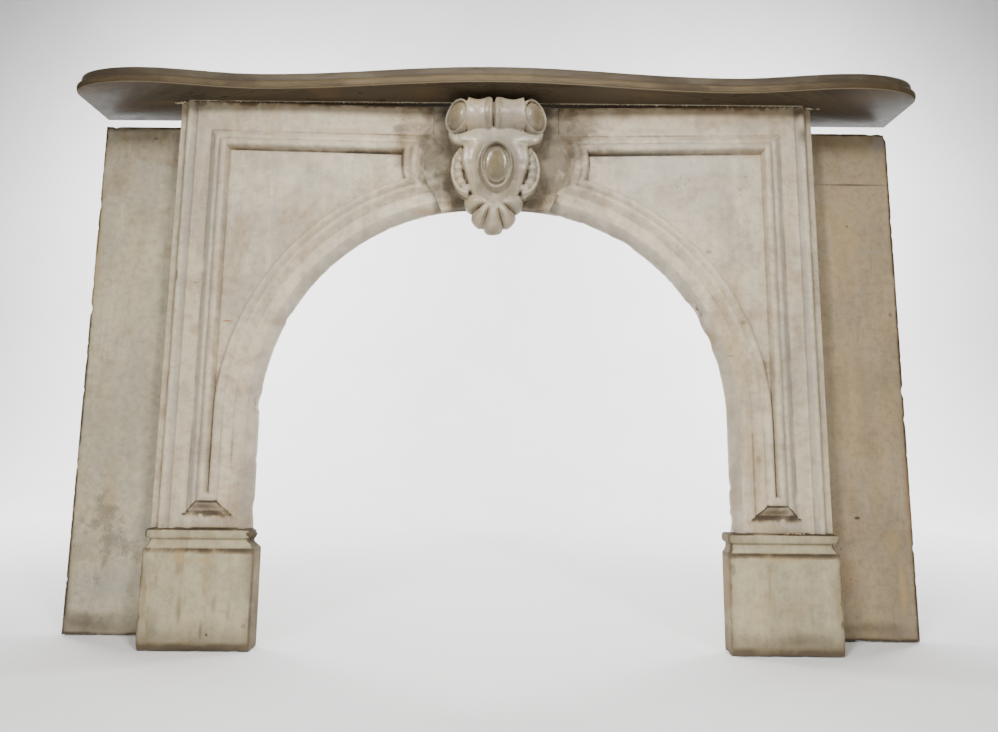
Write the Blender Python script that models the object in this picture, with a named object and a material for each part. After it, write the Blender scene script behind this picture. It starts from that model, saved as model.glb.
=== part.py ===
"""White marble chimneypiece with an arched opening, standing on its own feet.

Metres, +Z up. X runs along the shelf and the front faces -Y. The pieces are modelled with the
front of the arch panels in the plane Y = 0 and then set back together, so that the whole stands
centred over the origin. Every piece of marble is an object of its own.
"""

import math

import bmesh
import bpy
from mathutils import Matrix, Vector
from mathutils.geometry import delaunay_2d_cdt

# Fits
GAP = 0.0003  # between pieces that touch
JOINT = 0.0006  # hairline joint at each side of the keystone

# Opening: each half arch is struck from its own centre, a little out from the middle
OPENING_HALF = 0.455
ARCH_CENTRE_OUT = 0.035
SPRING_Z = 0.426

# Arch panels: a slab whose outer edge returns to the slip behind it
LEG_WIDTH = 0.190
FRIEZE_OVER = 0.218  # from the crown of the arch to the top edge
SLAB = 0.022
RETURN_THICKNESS = 0.024
RETURN_SET_IN = 0.001

# The top edges lie level over the legs, then fall towards the middle, because the halves settled
LEVEL_OVER_LEG = 0.060
FALL_SLOPE = 0.0145

# Hollow edge of the arch and jambs
COVE_WIDTH = 0.018
COVE_DEPTH = 0.012
COVE_CURVE = 1.7

# Stepped moulding down the outer edge of each leg
EDGE_FILLET = 0.018
EDGE_BEAD = 0.017
EDGE_QUIRK = 0.008
EDGE_DROP = 0.010
EDGE_RISE = 0.004

# Raised moulding round each panel, and the plain bands that it leaves round it
SIDE_BAND = 0.071
TOP_BAND = 0.061
BOTTOM_BAND = 0.031
ARCH_BAND = 0.041
MOULD_RISE = 0.0135
FIELD_DEPTH = 0.002
END_RADIUS = 0.105  # the moulding bends round the keystone
END_CENTRE_X = 0.045
END_CENTRE_DROP = 0.124
END_MARGIN = 0.003

# Keystone: a plain block between the panels, with a carved cartouche
KEY_FOOT_HALF = 0.108
KEY_HALF_WIDTH = 0.098
KEY_HEIGHT = 0.280
KEY_PROJECTION = 0.070
KEY_DROP = 0.0085

# Foot blocks
FOOT_OVERHANG = 0.017
FOOT_HEIGHT = 0.215
FOOT_PROUD = 0.013
FOOT_COVE = 0.018
FOOT_TORUS = 0.017
FOOT_SINK = 0.0065

# Side slips, flat slabs behind the legs
SLIP_FRONT = 0.080
SLIP_THICKNESS = 0.020
SLIP_SHOWN = 0.196
SLIP_HIDDEN = 0.045
SLIP_SHORT = 0.014  # it stops this far below the panels' top
SLIP_ARRIS = 0.0015

# Shelf with a serpentine front
SHELF_OVERHANG = 0.196  # past the legs at each end
SHELF_THICKNESS = 0.036
SHELF_CREST = 0.083  # how far each wave stands in front of the panels
SHELF_HOLLOW = 0.052
SHELF_EAR = 0.072
SHELF_HOLLOW_X = 0.470
SHELF_CORNER = 0.141  # length of the rounded corner along the front
SHELF_SHOULDER = 0.017  # where the rounded corner meets the straight end
SHELF_EDGE = 0.010  # depth of the edge moulding

# Worked out from the sizes above
ARCH_RADIUS = OPENING_HALF - ARCH_CENTRE_OUT
LEG_OUT = OPENING_HALF + LEG_WIDTH
FRIEZE_TOP = SPRING_Z + ARCH_RADIUS + FRIEZE_OVER
FALL_START = LEG_OUT - LEVEL_OVER_LEG
PANEL_OUT = LEG_OUT - SIDE_BAND
PANEL_TOP = FRIEZE_TOP - TOP_BAND
PANEL_BOTTOM = FOOT_HEIGHT + BOTTOM_BAND
MOULD_RADIUS = ARCH_RADIUS + ARCH_BAND
MOULD_WIDTH = (PANEL_OUT - OPENING_HALF - ARCH_BAND) / 2
END_CENTRE_Z = FRIEZE_TOP - END_CENTRE_DROP
JOINT_RADIUS = END_RADIUS - END_MARGIN
KEY_TOP = FRIEZE_TOP - KEY_DROP
FOOT_IN = OPENING_HALF - FOOT_OVERHANG
SLIP_OUT = LEG_OUT + SLIP_SHOWN
SLIP_IN = LEG_OUT - SLIP_HIDDEN
SLIP_TOP = FRIEZE_TOP - SLIP_SHORT
WALL_Y = SLIP_FRONT + SLIP_THICKNESS
SHELF_UNDER = FRIEZE_TOP + GAP
SHELF_HALF = LEG_OUT + SHELF_OVERHANG
SHELF_EAR_X = SHELF_HALF - SHELF_CORNER
SET_BACK = (SHELF_CREST - WALL_Y) / 2

# How finely the curves are divided
ARCH_STEPS = 20
END_STEPS = 6
SHELF_STEPS = 30


def clear_scene():
    for obj in list(bpy.data.objects):
        bpy.data.objects.remove(obj, do_unlink=True)


def marble(name, colour, roughness):
    material = bpy.data.materials.new(name)
    material.use_nodes = True
    shader = material.node_tree.nodes["Principled BSDF"]
    shader.inputs["Base Color"].default_value = (*colour, 1.0)
    shader.inputs["Roughness"].default_value = roughness
    shader.inputs["Metallic"].default_value = 0.0
    return material


def object_from(bm, name, material, parent):
    """Closes the bmesh's work into an object with outward faces, smooth but for its arrises."""
    bmesh.ops.remove_doubles(bm, verts=bm.verts[:], dist=1e-6)
    bmesh.ops.recalc_face_normals(bm, faces=bm.faces[:])
    mesh = bpy.data.meshes.new(name)
    bm.to_mesh(mesh)
    bm.free()
    mesh.shade_smooth()
    mesh.set_sharp_from_angle(angle=math.radians(32))
    mesh.materials.append(material)
    obj = bpy.data.objects.new(name, mesh)
    obj.parent = parent
    bpy.context.collection.objects.link(obj)
    return obj


def unite(obj, other, with_itself=False):
    """Joins the other object to this one and keeps it as a hidden helper."""
    other.hide_render = True
    other.display_type = "WIRE"
    modifier = obj.modifiers.new("union", "BOOLEAN")
    modifier.operation = "UNION"
    modifier.solver = "EXACT"
    modifier.use_self = with_itself
    modifier.object = other


def add_box(bm, low, high):
    size = [b - a for a, b in zip(low, high)]
    middle = [(a + b) / 2 for a, b in zip(low, high)]
    matrix = Matrix.Translation(middle) @ Matrix.Diagonal((*size, 1.0))
    return bmesh.ops.create_cube(bm, size=1.0, matrix=matrix)["verts"]


def add_loft(bm, sections):
    """A closed skin through rings of as many points each, with a face over both ends."""
    rings = [[bm.verts.new(point) for point in section] for section in sections]
    count = len(rings[0])
    for lower, upper in zip(rings, rings[1:]):
        for i in range(count):
            j = (i + 1) % count
            bm.faces.new((lower[i], lower[j], upper[j], upper[i]))
    bm.faces.new(rings[0][::-1])
    bm.faces.new(rings[-1])


def add_turned(bm, frame, profile, steps):
    """A turned shape about the frame's Z axis, from (height, radius) pairs."""
    sections = []
    for height, radius in profile:
        ring = []
        for i in range(steps):
            turn = math.tau * i / steps
            ring.append(frame @ Vector((radius * math.cos(turn), radius * math.sin(turn), height)))
        sections.append(ring)
    add_loft(bm, sections)


def arc(centre, radius, start, end, steps):
    """Points of an arc in the plane of the front, ends included. Angles are from +X towards +Z."""
    points = []
    for i in range(steps + 1):
        angle = start + (end - start) * i / steps
        x = centre[0] + radius * math.cos(angle)
        points.append((x, centre[1] + radius * math.sin(angle)))
    return points


def angle_of(centre, point):
    return math.atan2(point[1] - centre[1], point[0] - centre[0])


def top_z(x):
    """Height of a panel's top edge."""
    return FRIEZE_TOP - FALL_SLOPE * max(0.0, FALL_START - x)


ARCH_CENTRE = (ARCH_CENTRE_OUT, SPRING_Z)
END_CENTRE = (END_CENTRE_X, END_CENTRE_Z)


def line_meets_circle(a, b, centre, radius):
    """The crossing of the circle with the line from a to b that is nearest to b."""
    dx, dz = b[0] - a[0], b[1] - a[1]
    fx, fz = a[0] - centre[0], a[1] - centre[1]
    qa = dx * dx + dz * dz
    qb = 2 * (fx * dx + fz * dz)
    qc = fx * fx + fz * fz - radius * radius
    root = math.sqrt(qb * qb - 4 * qa * qc)
    ways = [(-qb + sign * root) / (2 * qa) for sign in (1, -1)]
    t = min(ways, key=lambda way: abs(way - 1))
    return (a[0] + t * dx, a[1] + t * dz)


def circles_meet(c1, r1, c2, r2):
    """The crossing of two circles that lies to the right of the line between their centres."""
    dx, dz = c2[0] - c1[0], c2[1] - c1[1]
    apart = math.hypot(dx, dz)
    along = (apart * apart + r1 * r1 - r2 * r2) / (2 * apart)
    aside = math.sqrt(r1 * r1 - along * along)
    x = c1[0] + (along * dx + aside * dz) / apart
    z = c1[1] + (along * dz - aside * dx) / apart
    return (x, z)


def moulding_top(x, inset):
    return PANEL_TOP - FALL_SLOPE * (PANEL_OUT - x) - inset


def moulding_line(inset):
    """One closed line of the panel moulding, this far in from its outer edge, with its corners."""
    inner_x = OPENING_HALF + ARCH_BAND + inset
    outer_x = PANEL_OUT - inset
    low_z = PANEL_BOTTOM + inset
    arch_r = MOULD_RADIUS + inset
    end_r = END_RADIUS + inset
    far = (outer_x, moulding_top(outer_x, inset))
    level = (END_CENTRE_X, moulding_top(END_CENTRE_X, inset))
    top_corner = line_meets_circle(level, (END_CENTRE_X + end_r, level[1]), END_CENTRE, end_r)
    low_corner = circles_meet(ARCH_CENTRE, arch_r, END_CENTRE, end_r)
    spring = (inner_x, SPRING_Z)
    points = [(inner_x, low_z), spring]
    corners = [0]
    points += arc(ARCH_CENTRE, arch_r, 0.0, angle_of(ARCH_CENTRE, low_corner), ARCH_STEPS)[1:]
    corners.append(len(points) - 1)
    bend = (angle_of(END_CENTRE, low_corner), angle_of(END_CENTRE, top_corner))
    points += arc(END_CENTRE, end_r, *bend, END_STEPS)[1:]
    corners.append(len(points) - 1)
    points.append(far)
    corners.append(len(points) - 1)
    points.append((outer_x, SPRING_Z))
    points.append((outer_x, low_z))
    corners.append(len(points) - 1)
    return points, corners


def joint_line(clearance):
    """The keystone's side from its foot to the top edge, moved out by the clearance."""
    radius = JOINT_RADIUS + clearance
    low = circles_meet(ARCH_CENTRE, MOULD_RADIUS, END_CENTRE, radius)
    foot_x = KEY_FOOT_HALF + clearance
    foot_z = SPRING_Z + math.sqrt(ARCH_RADIUS**2 - (foot_x - ARCH_CENTRE_OUT) ** 2)
    upper_z = 2 * END_CENTRE_Z - low[1]
    upper_angle = math.asin((upper_z - END_CENTRE_Z) / radius)
    points = [(foot_x, foot_z)]
    points += arc(END_CENTRE, radius, angle_of(END_CENTRE, low), upper_angle, END_STEPS)
    points.append((points[-1][0], top_z(points[-1][0])))
    return points


def moulding_profile():
    """(inset, depth) across the panel moulding, from the frame to the field; depth is +Y."""
    shares = (
        (0.00, 0.00),
        (0.04, -0.13),
        (0.10, 0.06),
        (0.27, 0.27),
        (0.38, 0.62),
        (0.46, 0.66),
        (0.51, 0.56),
        (0.60, 0.86),
        (0.73, 1.00),
        (0.86, 0.88),
        (0.94, 0.50),
    )
    profile = [(MOULD_WIDTH * across, -MOULD_RISE * rise) for across, rise in shares]
    return profile + [(MOULD_WIDTH, FIELD_DEPTH)]


def edge_profile():
    """(distance from the leg's outer edge, depth) across its stepped moulding."""
    bead_start = EDGE_FILLET + 0.0005
    bead_end = EDGE_FILLET + EDGE_BEAD
    profile = [(0.0, EDGE_DROP), (EDGE_FILLET, EDGE_DROP)]
    for share, rise in ((0.0, 0.2), (0.25, 0.8), (0.5, 1.0), (0.75, 0.8), (1.0, 0.0)):
        across = bead_start + share * (bead_end - bead_start)
        profile.append((across, -EDGE_RISE * rise))
    profile.append((bead_end + 0.1 * EDGE_QUIRK, EDGE_RISE * 0.6))
    profile.append((bead_end + 0.5 * EDGE_QUIRK, EDGE_RISE * 0.5))
    profile.append((bead_end + EDGE_QUIRK, 0.0))
    return profile


def cove_profile():
    """(distance from the arch's edge, depth) across its hollow."""
    shares = (0.0, 0.25, 0.5, 0.75, 1.0)
    return [(COVE_WIDTH * share, COVE_DEPTH * (1 - share) ** COVE_CURVE) for share in shares]


class FrontPlan:
    """Points and lines drawn on the front of a slab, each point with its own depth."""

    def __init__(self):
        self.places = {}
        self.points = []
        self.depths = []
        self.lines = set()

    def point(self, place, depth):
        key = (round(place[0], 6), round(place[1], 6))
        if key not in self.places:
            self.places[key] = len(self.points)
            self.points.append(Vector(place))
            self.depths.append(depth)
        return self.places[key]

    def line(self, places, depths, closed=False):
        ids = [self.point(place, depth) for place, depth in zip(places, depths)]
        ends = ids[1:] + ids[:1] if closed else ids[1:]
        for a, b in zip(ids, ends):
            if a != b:
                self.lines.add((min(a, b), max(a, b)))
        return ids

    def slab(self, bm, back, flip):
        """Triangulates the plan, lifts it to its depths and gives it sides and a flat back."""
        edges = sorted(self.lines)
        points, _, faces, origins, _, _ = delaunay_2d_cdt(self.points, edges, [], 1, 1e-7)
        side = -1 if flip else 1
        verts = []
        for place, origin in zip(points, origins):
            depth = self.depths[origin[0]] if origin else 0.0
            verts.append(bm.verts.new((side * place[0], depth, place[1])))
        for face in faces:
            bm.faces.new([verts[i] for i in face])
        rim = [edge for edge in bm.edges if edge.is_boundary]
        made = bmesh.ops.extrude_edge_only(bm, edges=rim)["geom"]
        for element in made:
            if isinstance(element, bmesh.types.BMVert):
                element.co.y = back
        rim = [edge for edge in bm.edges if edge.is_boundary]
        bmesh.ops.holes_fill(bm, edges=rim, sides=0)


def leg_bottom():
    return FOOT_HEIGHT + GAP


def draw_arch_edge(plan, joint):
    """The hollow edge, up the jamb and round the arch, run out flat just before the keystone."""
    foot, shoulder = joint[0], joint[1]
    for distance, depth in cove_profile():
        radius = ARCH_RADIUS + distance
        end = line_meets_circle(shoulder, foot, ARCH_CENTRE, radius)
        turn = angle_of(ARCH_CENTRE, end)
        places = [(OPENING_HALF + distance, leg_bottom())]
        places += arc(ARCH_CENTRE, radius, 0.0, turn, ARCH_STEPS)
        depths = [depth] * (len(places) - 2) + [depth * 0.8, 0.0]
        plan.line(places, depths)


def draw_outer_edge(plan):
    for distance, depth in edge_profile():
        x = LEG_OUT - distance
        plan.line([(x, leg_bottom()), (x, top_z(x))], [depth, depth])


def draw_outline(plan, joint):
    """Closes the plan along the bottom, the top edge and the joint; the other sides are drawn."""
    coves = [(OPENING_HALF + distance, depth) for distance, depth in cove_profile()]
    edges = [(LEG_OUT - distance, depth) for distance, depth in edge_profile()][::-1]
    bottom = coves + edges
    plan.line([(x, leg_bottom()) for x, _ in bottom], [depth for _, depth in bottom])
    top = [(joint[-1][0], 0.0), (FALL_START, 0.0)] + edges
    plan.line([(x, top_z(x)) for x, _ in top], [depth for _, depth in top])
    foot, shoulder = joint[0], joint[1]
    crossings = []
    for distance, _ in cove_profile():
        crossings.append(line_meets_circle(shoulder, foot, ARCH_CENTRE, ARCH_RADIUS + distance))
    side = crossings + joint[1:]
    plan.line(side, [0.0] * len(side))


def draw_moulding(plan):
    """The raised moulding: one closed line for each step of its profile, mitred at the corners."""
    last = None
    for inset, depth in moulding_profile():
        places, corners = moulding_line(inset)
        ids = plan.line(places, [depth] * len(places), closed=True)
        marks = [ids[corner] for corner in corners]
        if last:
            for a, b in zip(last, marks):
                if a != b:
                    plan.lines.add((min(a, b), max(a, b)))
        last = marks


def arch_panel(name, flip, material, parent):
    plan = FrontPlan()
    joint = joint_line(JOINT)
    draw_outline(plan, joint)
    draw_arch_edge(plan, joint)
    draw_outer_edge(plan)
    draw_moulding(plan)
    bm = bmesh.new()
    plan.slab(bm, SLAB, flip)
    panel = object_from(bm, name, material, parent)
    outer = LEG_OUT - RETURN_SET_IN
    low = (outer - RETURN_THICKNESS, SLAB / 2, leg_bottom() + RETURN_SET_IN)
    high = (outer, SLIP_FRONT - GAP, FRIEZE_TOP - RETURN_SET_IN)
    unite(panel, return_box(name + "_return", low, high, flip, material, parent))
    return panel


def return_box(name, low, high, flip, material, parent):
    """The plain return behind a leg or a foot block, to be joined to it."""
    bm = bmesh.new()
    if flip:
        low, high = (-high[0], low[1], low[2]), (-low[0], high[1], high[2])
    add_box(bm, low, high)
    return object_from(bm, name, material, parent)


def foot_profile():
    """(height, sinking) up the block: plain face, hollow, then a round under the jamb."""
    face_top = FOOT_HEIGHT - FOOT_COVE - FOOT_TORUS
    torus_base = FOOT_HEIGHT - FOOT_TORUS
    profile = [(0.0, 0.001), (0.002, 0.0), (face_top, 0.0), (face_top + 0.001, 0.1 * FOOT_SINK)]
    for share, sink in ((0.12, 0.6), (0.4, 1.0), (0.75, 0.95), (0.95, 0.6)):
        profile.append((face_top + share * FOOT_COVE, sink * FOOT_SINK))
    for i in range(7):
        angle = math.pi * i / 6
        height = torus_base + FOOT_TORUS * (1 - math.cos(angle)) / 2
        profile.append((height, FOOT_SINK * (0.75 - 0.75 * math.sin(angle))))
    return profile


def foot_block(name, flip, material, parent):
    bm = bmesh.new()
    side = -1 if flip else 1
    sections = []
    for height, sink in foot_profile():
        corners = (
            (FOOT_IN + sink, -FOOT_PROUD + sink),
            (LEG_OUT - sink, -FOOT_PROUD + sink),
            (LEG_OUT - sink, SLAB),
            (FOOT_IN + sink, SLAB),
        )
        sections.append([(side * x, y, height) for x, y in corners])
    add_loft(bm, sections)
    block = object_from(bm, name, material, parent)
    outer = LEG_OUT - FOOT_SINK
    low = (outer - RETURN_THICKNESS, SLAB / 2, 0.0)
    high = (outer, SLIP_FRONT - GAP, FOOT_HEIGHT - RETURN_SET_IN)
    unite(block, return_box(name + "_return", low, high, flip, material, parent))
    return block


def side_slip(name, flip, material, parent):
    bm = bmesh.new()
    low, high = (SLIP_IN, SLIP_FRONT, 0.0), (SLIP_OUT, WALL_Y, SLIP_TOP)
    if flip:
        low, high = (-high[0], low[1], low[2]), (-low[0], high[1], high[2])
    add_box(bm, low, high)
    front = [edge for edge in bm.edges if all(v.co.y < SLIP_FRONT + GAP for v in edge.verts)]
    bmesh.ops.bevel(bm, geom=front, offset=SLIP_ARRIS, segments=1, affect="EDGES")
    return object_from(bm, name, material, parent)


def shelf_front(x):
    """How far the shelf stands in front of the panels, from the middle to the ear."""
    if x < SHELF_HOLLOW_X:
        wave = (1 + math.cos(math.pi * x / SHELF_HOLLOW_X)) / 2
        return SHELF_HOLLOW + (SHELF_CREST - SHELF_HOLLOW) * wave
    along = (x - SHELF_HOLLOW_X) / (SHELF_EAR_X - SHELF_HOLLOW_X)
    wave = (1 - math.cos(math.pi * min(1.0, along))) / 2
    return SHELF_HOLLOW + (SHELF_EAR - SHELF_HOLLOW) * wave


def shelf_plan():
    """Half of the shelf's edge from the middle of the front to the back, as (x, y, outward)."""
    points = []
    for i in range(SHELF_STEPS):
        x = SHELF_EAR_X * i / SHELF_STEPS
        points.append((x, -shelf_front(x)))
    corner_x, corner_y = SHELF_HALF - SHELF_EAR_X, SHELF_EAR - SHELF_SHOULDER
    steps = SHELF_STEPS // 3
    for i in range(steps + 1):
        angle = math.pi / 2 * i / steps
        x = SHELF_EAR_X + corner_x * math.sin(angle)
        points.append((x, -SHELF_SHOULDER - corner_y * math.cos(angle)))
    points.append((SHELF_HALF, SLIP_FRONT))
    plan = []
    for i, (x, y) in enumerate(points):
        before = (-points[1][0], points[1][1]) if i == 0 else points[i - 1]
        after = points[i + 1] if i + 1 < len(points) else (x, y + 1.0)
        if i + 1 == len(points):
            before = (x, y)
        run = Vector((after[0] - before[0], after[1] - before[1])).normalized()
        plan.append((Vector((x, y)), Vector((run.y, -run.x))))
    return plan


def shelf_profile():
    """(height over the underside, sinking): lip, round nose, quirk and a shallow hollow above."""
    shares = (
        (0.00, 0.30),
        (0.05, 0.14),
        (0.12, 0.10),
        (0.22, 0.00),
        (0.34, 0.02),
        (0.43, 0.18),
        (0.48, 0.42),
        (0.51, 0.62),
        (0.62, 0.66),
        (0.80, 0.70),
        (0.94, 0.82),
        (1.00, 1.00),
    )
    return [(SHELF_THICKNESS * up, SHELF_EDGE * sink) for up, sink in shares]


def mantel_shelf(material, parent):
    half = shelf_plan()
    bm = bmesh.new()
    sections = []
    for height, sink in shelf_profile():
        right = [place - outward * sink for place, outward in half]
        ring = [(point.x, point.y, SHELF_UNDER + height) for point in right]
        ring += [(-x, y, z) for x, y, z in ring[:0:-1]]
        sections.append(ring)
    add_loft(bm, sections)
    return object_from(bm, "mantel_shelf", material, parent)


def spot(x, y, z):
    """A place in the carving, in shares of its half width, its projection and its height."""
    return Vector((x * KEY_HALF_WIDTH, -y * KEY_PROJECTION, KEY_TOP - z * KEY_HEIGHT))


# Carving of the keystone, in shares of its own size
ROLL_DEPTH = 0.44
ROLL_DROP = 0.134
ROLL_RADIUS = 0.141
GROOVE_SHIFT = -0.045  # the middle groove and the leaf hang a little to the left
EYE_OUT = 0.775
EYE_DEPTH = 0.62
EYE_DROP = 0.145
EYE_RADIUS = 0.119
EYE_TURN = math.radians(45)
OVAL_SHIFT = 0.025
OVAL_DROP = 0.527
OVAL_DEPTH = 0.88
OVAL_HALF_WIDTH = 0.306
OVAL_HALF_HEIGHT = 0.163
OVAL_LEAN = 0.12  # how much further the ring's top stands out than its bottom
SCROLL_OUT = 0.50
SCROLL_DROP = 0.516
SCROLL_HALF_WIDTH = 0.378
SCROLL_HALF_HEIGHT = 0.193
SCROLL_RIM = 0.072
SCROLL_START = math.radians(-66)
SCROLL_SWEEP = math.radians(148)
BEAD_LINE = 0.105  # from the rim to the beads
BEAD_DEPTH = 0.33
BEAD_SIZES = (0.150, 0.115, 0.112)
BEADS = 6
FAN_DROP = 0.545
FAN_REACH = 0.452
FAN_SPREAD = math.radians(62)
FAN_LENGTH = 1.016  # the fan's outline, in shares of its reach, falls by the degree
FAN_FALL = 0.0082
FAN_LEVEL = 8.0
LOBES = ((0.0, 11.5), (20.5, 9.0), (45.5, 16.0))  # middle and half spread, in degrees


def add_roll(bm):
    """The rolled top, fluted along its length: two reeds by the middle groove, then hollows."""
    centre = spot(0.0, ROLL_DEPTH, ROLL_DROP)
    frame = Matrix.Translation(centre) @ Matrix.Rotation(math.pi / 2, 4, "Y")
    swell = (
        (0.008, 0.82),
        (0.03, 0.95),
        (0.085, 1.00),
        (0.14, 0.97),
        (0.18, 0.92),
        (0.32, 0.89),
        (0.44, 0.91),
        (0.53, 0.96),
    )
    full = [(-x, r) for x, r in swell[::-1]] + list(swell)
    profile = []
    for x, r in full:
        shift = GROOVE_SHIFT * (1 - abs(x) / swell[-1][0])
        profile.append(((x + shift) * KEY_HALF_WIDTH, r * ROLL_RADIUS * KEY_HEIGHT))
    add_turned(bm, frame, profile, 20)



def add_eye(bm, side):
    """A volute's eye: a dished and domed boss that looks outwards and forwards."""
    centre = spot(side * EYE_OUT, EYE_DEPTH, EYE_DROP)
    towards = Vector((side * math.sin(EYE_TURN), -math.cos(EYE_TURN), 0.0))
    frame = Matrix.Translation(centre) @ towards.to_track_quat("Z", "Y").to_matrix().to_4x4()
    turned = (
        (-1.40, 0.80),
        (-0.35, 0.97),
        (0.00, 1.00),
        (0.10, 0.96),
        (0.11, 0.86),
        (0.00, 0.79),
        (0.06, 0.64),
        (0.17, 0.38),
        (0.21, 0.10),
    )
    size = EYE_RADIUS * KEY_HEIGHT
    add_turned(bm, frame, [(height * size, radius * size) for height, radius in turned], 20)


def add_shield(bm):
    """The body from under the roll, over the oval, down to the root of the leaves.

    Each station holds its drop, its half width, and how far its middle and its edges stand out.
    """
    stations = (
        (0.155, 0.70, 0.55, 0.25),
        (0.205, 0.92, 0.63, 0.32),
        (0.240, 0.96, 0.72, 0.42),
        (0.285, 0.935, 0.765, 0.47),
        (0.318, 0.88, 0.79, 0.48),
        (0.338, 0.80, 0.80, 0.48),
        (0.352, 0.66, 0.81, 0.54),
        (0.400, 0.67, 0.82, 0.54),
        (0.459, 0.675, 0.815, 0.54),
        (0.541, 0.61, 0.785, 0.52),
        (0.616, 0.54, 0.73, 0.47),
        (0.670, 0.49, 0.66, 0.42),
        (0.730, 0.40, 0.57, 0.36),
    )
    steps = 8
    sections = []
    for drop, half, front, edge in stations:
        ring = [spot(half * 0.97, -0.15, drop), spot(half, edge - 0.10, drop)]
        for i in range(steps + 1):
            across = math.cos(math.radians(12) + math.radians(156) * i / steps)
            ring.append(spot(half * across, edge + (front - edge) * (1 - across * across), drop))
        ring += [spot(-half, edge - 0.10, drop), spot(-half * 0.97, -0.15, drop)]
        sections.append(ring)
    add_loft(bm, sections)


def add_oval(bm):
    """The oval boss: a hollow flare, a raised ring and a low dome, leaning with the body."""
    half_x = OVAL_HALF_WIDTH * KEY_HALF_WIDTH
    half_z = OVAL_HALF_HEIGHT * KEY_HEIGHT
    lean = math.atan2(OVAL_LEAN * KEY_PROJECTION, 2 * half_z)
    frame = Matrix.Translation(spot(OVAL_SHIFT, OVAL_DEPTH, OVAL_DROP))
    frame = frame @ Matrix.Rotation(math.pi / 2 + lean, 4, "X")
    profile = (
        (1.00, 0.200, -0.35),
        (1.00, 0.110, -0.14),
        (1.00, 0.062, -0.055),
        (1.00, 0.058, 0.03),
        (1.00, 0.022, 0.085),
        (1.00, -0.030, 0.07),
        (1.00, -0.062, -0.01),
        (0.72, 0.0, 0.03),
        (0.42, 0.0, 0.06),
        (0.12, 0.0, 0.075),
    )
    steps = 22
    sections = []
    for share, reach, height in profile:
        ring = []
        for i in range(steps):
            angle = math.tau * i / steps
            x = (half_x * share + KEY_PROJECTION * reach) * math.cos(angle)
            y = (half_z * share + KEY_PROJECTION * reach) * math.sin(angle)
            ring.append(frame @ Vector((x, y, KEY_PROJECTION * height)))
        sections.append(ring)
    add_loft(bm, sections)


def scroll_spot(side, angle, inset_x, inset_z, depth):
    x = SCROLL_OUT + (SCROLL_HALF_WIDTH - inset_x) * math.cos(angle)
    drop = SCROLL_DROP + (SCROLL_HALF_HEIGHT - inset_z) * math.sin(angle)
    return spot(side * x, depth, drop)


def add_side_scroll(bm, side):
    """A curved rim beside the body, with a row of beads between the two."""
    rim = SCROLL_RIM * KEY_PROJECTION
    sections = []
    steps, turns = 12, 7
    for i in range(steps + 1):
        angle = SCROLL_START + SCROLL_SWEEP * i / steps
        place = scroll_spot(side, angle, 0.0, 0.0, 0.38 + 0.05 * math.sin(angle))
        swell = 1.0 + 0.5 * (i / steps) ** 2
        out = Vector((side * math.cos(angle), 0.0, -math.sin(angle)))
        ring = []
        for j in range(turns):
            roll = math.tau * j / turns
            reach = out * math.cos(roll) + Vector((0.0, 2.2 * math.sin(roll), 0.0))
            ring.append(place + reach * rim * swell)
        sections.append(ring)
    add_loft(bm, sections)
    for depth, ring in ((-0.10, []), (BEAD_DEPTH, [])):
        sections.append(ring)
        for i in range(9):
            angle = SCROLL_START + SCROLL_SWEEP * i / 8
            ring.append(scroll_spot(side, angle, -0.01, 0.0, depth))
        ring.append(spot(side * 0.30, depth, SCROLL_DROP + SCROLL_HALF_HEIGHT))
        ring.append(spot(side * 0.30, depth, SCROLL_DROP - SCROLL_HALF_HEIGHT))
    add_loft(bm, sections[-2:])
    sizes = [size * KEY_PROJECTION for size in BEAD_SIZES]
    for i in range(BEADS):
        angle = SCROLL_START + SCROLL_SWEEP * (0.10 + 0.86 * i / (BEADS - 1))
        place = scroll_spot(side, angle, BEAD_LINE, BEAD_LINE / 3, BEAD_DEPTH)
        turn = Matrix.Rotation(side * angle, 4, "Y")
        matrix = Matrix.Translation(place) @ turn @ Matrix.Diagonal((*sizes, 1.0))
        bmesh.ops.create_uvsphere(bm, u_segments=10, v_segments=6, radius=1.0, matrix=matrix)


def leaf_lobe(turn):
    """(share across its lobe from -1 to 1, the lobe's number) of a direction in degrees."""
    found = [(abs(turn) - middle) / half for middle, half in LOBES]
    lobe = min(range(len(LOBES)), key=lambda i: abs(found[i]))
    return max(-1.0, min(1.0, found[lobe])), lobe


def add_leaves(bm):
    """The hanging leaf: one fan with five rounded lobes, hollowed between them."""
    steps = 40
    reach = FAN_REACH * KEY_HEIGHT
    relief = ((0.10, 0.60), (0.40, 0.60), (0.58, 0.54), (0.76, 0.49), (0.91, 0.42), (1.0, 0.29))
    sections = []
    for i in range(steps + 1):
        angle = FAN_SPREAD * (2 * i / steps - 1)
        turn = math.degrees(angle)
        across, lobe = leaf_lobe(turn)
        length = reach * (FAN_LENGTH - FAN_FALL * max(FAN_LEVEL, abs(turn)))
        length = length * (1 - (0.11, 0.09, 0.12)[lobe] * abs(across) ** 3)
        crown = 1 - across * across
        ring = []
        for share, stand in relief:
            swell = 0.12 * crown * math.sin(math.pi * share * 0.8) - 0.05
            depth = stand + swell - 0.06 * (angle / FAN_SPREAD) ** 2
            ring.append(fan_spot(angle, length * share, depth))
        ring.append(fan_spot(angle, length * 0.93, 0.08))
        ring.append(fan_spot(angle, length * 0.62, -0.06))
        ring.append(fan_spot(angle, length * 0.10, -0.08))
        sections.append(ring)
    add_loft(bm, sections)


def fan_spot(angle, length, depth):
    x = length * math.sin(angle) / KEY_HALF_WIDTH + GROOVE_SHIFT * length / (FAN_REACH * KEY_HEIGHT)
    return spot(x, depth, FAN_DROP + length * math.cos(angle) / KEY_HEIGHT)


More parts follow.
